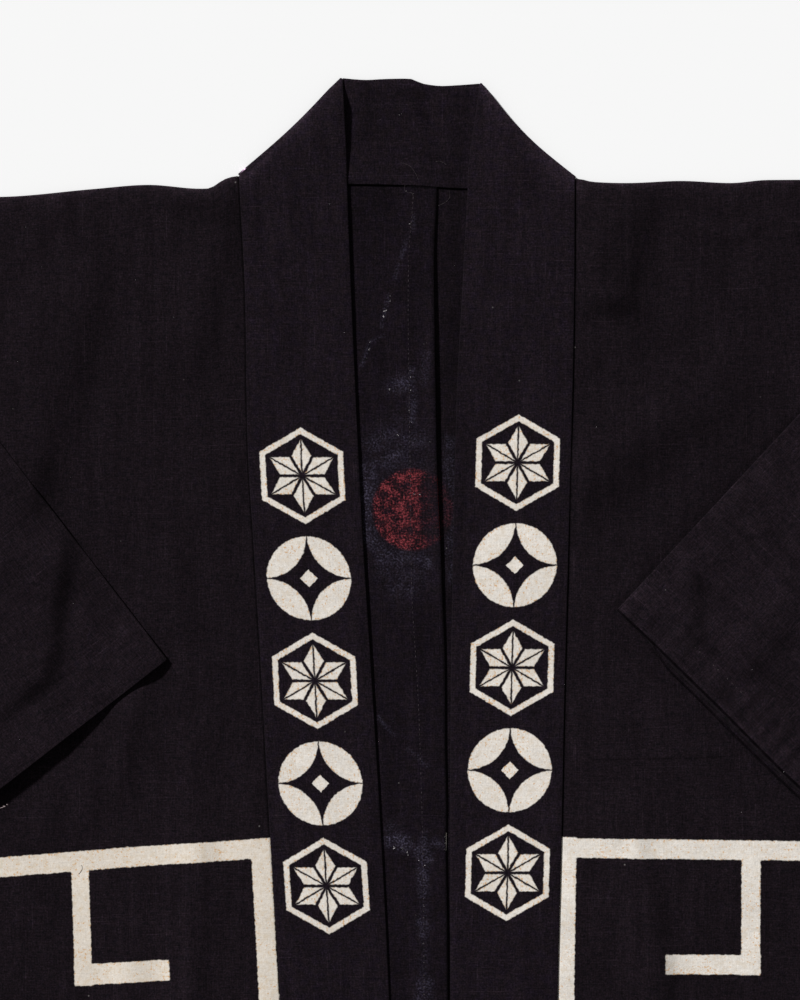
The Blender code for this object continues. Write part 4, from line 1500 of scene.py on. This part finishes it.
# The red disc, and how it shows through inside: its edge from the radius, its rim in shares of the
# radius, and where its blotches and grains start and end with their strengths there.
disc = {
    "centre": (2.1, 172.7),
    "radius": 21.8,
    "red": (0.130, 0.021, 0.025),
    "outside": (0.26, 0.025, 0.02),
    "edge": (-1.6, 0.8),
    "rim": (0.55, 0.6),
    "blotches": (0.43, 0.62, 0.10, 1.35),
    "grains": (0.40, 0.60, 0.15, 1.35),
    "specks": (0.36, 0.66, 0.45, 1.9),
    "overHaze": 0.75,
}

haze = {
    "colour": (0.064, 0.057, 0.090),
    # chalky strokes inside, across and down, with their widths
    "streaks": [
        ((2.7, 16.0), (2.0, 24.5), 1.9),
        ((-0.5, 27.0), (-4.6, 40.0), 1.9),
        ((-5.4, 42.0), (-7.6, 50.0), 1.6),
        ((-10.6, 58.0), (-13.6, 70.0), 1.8),
        ((-13.0, 66.0), (-15.0, 76.0), 1.6),
        ((-13.0, 80.0), (-20.8, 83.5), 1.4),
        ((-20.8, 83.0), (-25.8, 98.0), 1.8),
        ((-16.8, 283.0), (-7.5, 293.4), 2.2),
        ((-1.0, 300.0), (3.0, 303.0), 2.0),
        ((3.0, 303.0), (10.6, 310.4), 2.6),
    ],
    "strength": 0.24,
    "patches": (0.44, 0.64, 0.10, 1.2),
    "grains": (0.36, 0.66, 0.30, 1.4),
}

# Painted shade along lines on the fronts, in creases and below the right cuff's edge: where, how wide, how
# soft their edges are, and how dark.
paintedShadeLines = {
    -1: {"lines": [((-136.5, -24), (-137.0, -155), 1.2)], "edge": (-0.4, 0.5), "tone": 0.88},
    1: {
        "lines": [
            ((97, -306.0), (143, -305.2), 1.3),
            ((147, -305.2), (168, -304.5), 1.2),
            # painted shade below the cuff's edge
            ((113.5, -228.1), (128.5, -243.0), 2.4),
            ((128.5, -246.8), (148.2, -263.8), 2.6),
            ((148.2, -263.8), (169.0, -288.4), 2.6),
            ((169.0, -288.4), (206.8, -325.1), 2.6),
        ],
        "edge": (-0.4, 0.5),
        "tone": 0.66,
    },
}
# Painted shade in the crevice along the neck band's seams on the fronts: how wide, how far out from the seam,
# how soft its edges are, and how dark.
seamShade = {"width": 1.1, "out": 0.35, "edge": (-0.4, 0.4), "tone": 0.5}
neckLine = {"lines": [((-33.0, 2.7), (31.0, 2.7), 1.3)], "edge": (-0.3, 0.4), "tone": 0.3}

motifs = {
    "start": {-1: 90.6 + 126.6, 1: 88.5 + 119.6},  # along the band from the middle of the nape
    "pitch": 54.6,
    "count": 5,
    "middle": 28.4,
    "frame": 25.6,  # hexagon, to its corners
    "frameWidth": 2.9,
    "leaf": 19.6,
    "ring": 22.6,
    "apart": 0.35,  # between the rings' petals
    "gap": 0.85,
    "vein": 0.5,
    "square": 4.6,
}


def inkOver(nodes, depth):  # lays cream ink over the dark cloth where depth is above 0
    grain, place, aged = nodes["grain"], nodes["place"], nodes["aged"]
    worn = ramp(grain, *printInk["worn"])
    swings = [sway(nodes[key], printInk[key]) for key in ("grain", "threads", "mottle", "patches")]
    ink = toned(printInk["cream"], plus(1.0, *swings))
    stain = noise(place, (3.0, 3.0), 4.0, 51.0)
    warm = ramp(stain, *printInk["yellowFrom"], aged, printInk["yellowed"] + aged)
    ink = blend(warm, ink, printInk["tan"])
    clusters = sway(noise(place, (9.0, 9.0), 2.0, 33.0), printInk["foxClusters"])
    fox = plus(noise(place, (1.3, 1.3), 1.0, 21.0), clusters, ramp(depth, *printInk["foxRim"]))
    ink = blend(ramp(fox, *printInk["foxFrom"], 0.0, printInk["foxed"]), ink, printInk["foxing"])
    mask = ramp(depth, -printInk["edge"], printInk["edge"])
    return blend(times(mask, worn), nodes["dark"], ink)


def lineTone(nodes, look, lines):
    return ramp(barDepth(nodes["place"], lines), *look["edge"], 1.0, look["tone"])


def bodyOutside(side, name, lookName):
    nodes = clothNodes(name, lookName)
    place = wander(nodes)
    x, y = split(place)
    table = bandSeams[side]
    spots = [(x + side * seamShade["out"], -drop) for x, drop in zip(table["seam"], table["drop"])]
    seams = [(start, end, seamShade["width"]) for start, end in zip(spots, spots[1:])]
    # painted shade along creases, below the right cuff's edge, and in the crevice at the neck band's seams
    lineShading = lineTone(nodes, paintedShadeLines[side], paintedShadeLines[side]["lines"])
    nodes["dark"] = toned(nodes["dark"], times(lineShading, lineTone(nodes, seamShade, seams)))
    corner = printInk["corner"]
    front = barDepth(place, fretBars[side], corner)
    behind = barDepth(join(calc("ABSOLUTE", x), y), backBars, corner)
    colour = inkOver(nodes, calc("MAXIMUM", front, behind))
    away = vector("DISTANCE", place, (*disc["centre"], 0))
    red = ramp(away, disc["radius"] - 0.5, disc["radius"] + 0.5, 1.0, 0.0)
    return painted(nodes, blend(red, colour, disc["outside"]))


def bodyInside(name, lookName):
    nodes = clothNodes(name, lookName)
    tree, grain = nodes["tree"], nodes["grain"]
    place = wander(nodes)
    away = vector("DISTANCE", place, (*disc["centre"], 0))
    cloud = noise(nodes["place"], (6.0, 6.0), 3.0, 4.0)
    fine = noise(nodes["place"], (1.1, 1.1), 2.0, 14.0)
    # the disc shows through as blotches, strongest near its rim
    radius = disc["radius"]
    red = ramp(away, *(radius + far for far in disc["edge"]), 1.0, 0.0)
    rim = ramp(away, radius * disc["rim"][0], radius, disc["rim"][1], 1.0)
    blotch = ramp(plus(times(cloud, 0.65), times(fine, 0.35)), *disc["blotches"])
    grainy = ramp(plus(times(fine, 0.6), times(nodes["threads"], 0.4)), *disc["grains"])
    strength = times(red, rim, times(blotch, grainy))
    strength = calc("MULTIPLY", strength, readMark(tree, "red"), clamp=True)
    dyed = toned(disc["red"], ramp(grain, *disc["specks"]))
    colour = blend(strength, nodes["dark"], dyed)
    patchy = ramp(plus(times(cloud, 0.35), times(fine, 0.65)), *haze["patches"])
    patchy = times(patchy, ramp(grain, *haze["grains"]))
    cloudy = times(readMark(tree, "haze"), minus(1.0, times(red, disc["overHaze"])))
    chalk = ramp(barDepth(place, haze["streaks"]), -1.0, 0.8, 0.0, haze["strength"])
    dusty = calc("MULTIPLY", calc("MAXIMUM", cloudy, chalk), patchy, clamp=True)
    colour = blend(dusty, colour, haze["colour"])
    # the shade under the neck band's foot
    return painted(nodes, toned(colour, lineTone(nodes, neckLine, neckLine["lines"])))


# Painted light and shade on the right cuff: a painted highlight beside its fold, painted shade on the lower
# layer where the upper one shades it, and the part of the chart past the fold that gets nearly black painted
# shade.
cuffShadeAndLight = {"beside": 2.3, "light": 0.22, "shade": 0.28, "shadeFrom": -9.0, "shadeTo": -5.0,
             "fold": (-1.25, 2.5)}


def cuffOutside(name, lookName, foldAt):
    nodes = clothNodes(name, lookName)
    u, v = split(nodes["place"])
    past = minus(calc("ABSOLUTE", u), foldAt)
    near = calc("ABSOLUTE", plus(past, cuffShadeAndLight["beside"]))
    upper = calc("LESS_THAN", v, sleeve["depth"])
    # a painted highlight beside the upper layer's fold, and painted shade on the lower layer where the upper
    # one shades it
    tone = plus(1.0, times(ramp(near, 0.6, 1.6, cuffShadeAndLight["light"], 0.0), upper))
    shade = ramp(past, cuffShadeAndLight["shadeFrom"], cuffShadeAndLight["shadeTo"], 0.0, cuffShadeAndLight["shade"])
    tone = minus(tone, times(shade, minus(1.0, upper)))
    return painted(nodes, toned(nodes["dark"], tone))


def hexSide(x, y, turn):  # distance out towards one of the sides
    return plus(times(x, math.cos(turn)), times(y, math.sin(turn)))


def leafShape(down, across):  # a six-leaved star in a hexagon
    radius = vector("LENGTH", join(down, across))
    sixth = math.pi / 3
    turned = calc("FLOORED_MODULO", plus(calc("ARCTAN2", across, down), sixth / 2), sixth)
    folded = calc("ABSOLUTE", minus(turned, sixth / 2))
    leafX = times(radius, calc("COSINE", folded))
    leafY = times(radius, calc("SINE", folded))
    outer = minus(motifs["leaf"] / 2, hexSide(leafX, leafY, sixth))
    between = minus(times(radius, calc("SINE", minus(sixth / 2, folded))), motifs["gap"])
    leaf = calc("MINIMUM", calc("MINIMUM", outer, between), minus(leafY, motifs["vein"]))
    room = minus(motifs["frame"] * math.cos(sixth / 2), hexSide(leafX, leafY, sixth / 2))
    return calc("MAXIMUM", leaf, calc("MINIMUM", room, minus(motifs["frameWidth"], room)))


def ringShape(down, across):  # four petals of linked rings, and a square between them
    ring = motifs["ring"]
    x, y = calc("ABSOLUTE", down), calc("ABSOLUTE", across)
    near = minus(ring, vector("LENGTH", join(x, y)))
    other = minus(ring, vector("DISTANCE", join(x, y), (ring, ring, 0)))
    petal = minus(calc("MINIMUM", near, other), motifs["apart"])
    return calc("MAXIMUM", petal, minus(motifs["square"], plus(x, y)))


def bandOutside(name, lookName):
    nodes = clothNodes(name, lookName)
    u, v = split(wander(nodes))
    right = calc("GREATER_THAN", u, 0.0)
    far = plus(calc("ABSOLUTE", u), times(right, motifs["start"][-1] - motifs["start"][1]))
    steps = calc("DIVIDE", minus(far, motifs["start"][-1]), motifs["pitch"])
    number = calc("FLOOR", steps)
    down = times(sway(minus(steps, number), 1.0), motifs["pitch"])
    across = minus(v, motifs["middle"])
    leaf, ring = leafShape(down, across), ringShape(down, across)
    odd = calc("FLOORED_MODULO", number, 2.0)
    shape = plus(times(leaf, minus(1.0, odd)), times(ring, odd))
    last = calc("LESS_THAN", steps, float(motifs["count"]))
    shown = times(calc("GREATER_THAN", steps, 0.0), last)
    hidden = times(minus(1.0, shown), 100.0)
    return painted(nodes, inkOver(nodes, minus(shape, hidden)))


def plainSide(name, lookName):
    return clothNodes(name, lookName)["material"]


def markFold(mesh, foldAt):  # gives the faces at a cuff's turned edge the third material, the nearly black one of painted shade
    chart = np.empty(len(mesh.loops) * 2)
    mesh.uv_layers["cloth"].data.foreach_get("uv", chart)
    past = np.abs(chart.reshape(-1, 4, 2)[:, :, 0].mean(axis=1)) - foldAt
    inner, outer = cuffShadeAndLight["fold"]
    mesh.polygons.foreach_set("material_index", np.where((past > inner) & (past < outer), 2, 0))


cuffFold = sideEdge(1) + sleeve["width"]  # the right one's, along the cloth's chart
outside = {
    "body_left": bodyOutside(-1, "bodyClothLeft", "bodyLeft"),
    "body_right": bodyOutside(1, "bodyClothRight", "bodyRight"),
    "sleeve_left": plainSide("sleeveClothLeft", "sleeveLeft"),
    "sleeve_right": cuffOutside("sleeveClothRight", "sleeveRight", cuffFold),
    "collar": bandOutside("bandCloth", "band"),
}
inside = {
    "body_left": bodyInside("bodyInsideLeft", "insideLeft"),
    "body_right": bodyInside("bodyInsideRight", "insideRight"),
    "sleeve_left": plainSide("sleeveInsideLeft", "sleeveInsideLeft"),
    "sleeve_right": plainSide("sleeveInsideRight", "sleeveInsideRight"),
    "collar": plainSide("bandInside", "bandInside"),
}
for node, piece in pieces.items():
    piece.data.materials.append(outside[node])
    piece.data.materials.append(inside[node])
    if node == "sleeve_right":  # its cuff's fold gets a nearly black material, painted shade in the fold
        piece.data.materials.append(plainSide("cuffFold", "cuffShade"))
        markFold(piece.data, cuffFold)
    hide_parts(node)
    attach(piece, "root")


threadColours = {
    "darkThread": ((0.0115, 0.0088, 0.0112), 0.4),
    "seamThread": ((0.046, 0.036, 0.042), 0.6),
    "paleThread": ((0.080, 0.066, 0.068), 0.6),
    "lint": ((0.30, 0.28, 0.29), 0.75),
    "scrap": ((0.62, 0.50, 0.50), 0.3),
    "looseThread": ((0.050, 0.040, 0.045), 0.5),
}


def threadMaterial(name, colour, swing):
    material, tree, shader = newMaterial(name)
    here = tree.nodes.new("ShaderNodeTexCoord").outputs["Object"]
    patches = addNode("TexNoise", {"Vector": here, "Scale": 700.0}).outputs[0]
    feed(shader.inputs["Base Color"], toned(colour, ramp(patches, 0.35, 0.65, 1 - swing, 1 + swing)))
    shader.inputs["Roughness"].default_value = 0.85
    shader.inputs["Specular IOR Level"].default_value = 0.1
    return material


for name, item in trims.items():
    item.data.materials.append(threadMaterial(name, *threadColours[name]))
    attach(item, "root")
print("cloth finished:", len(outside) + len(inside), "materials")
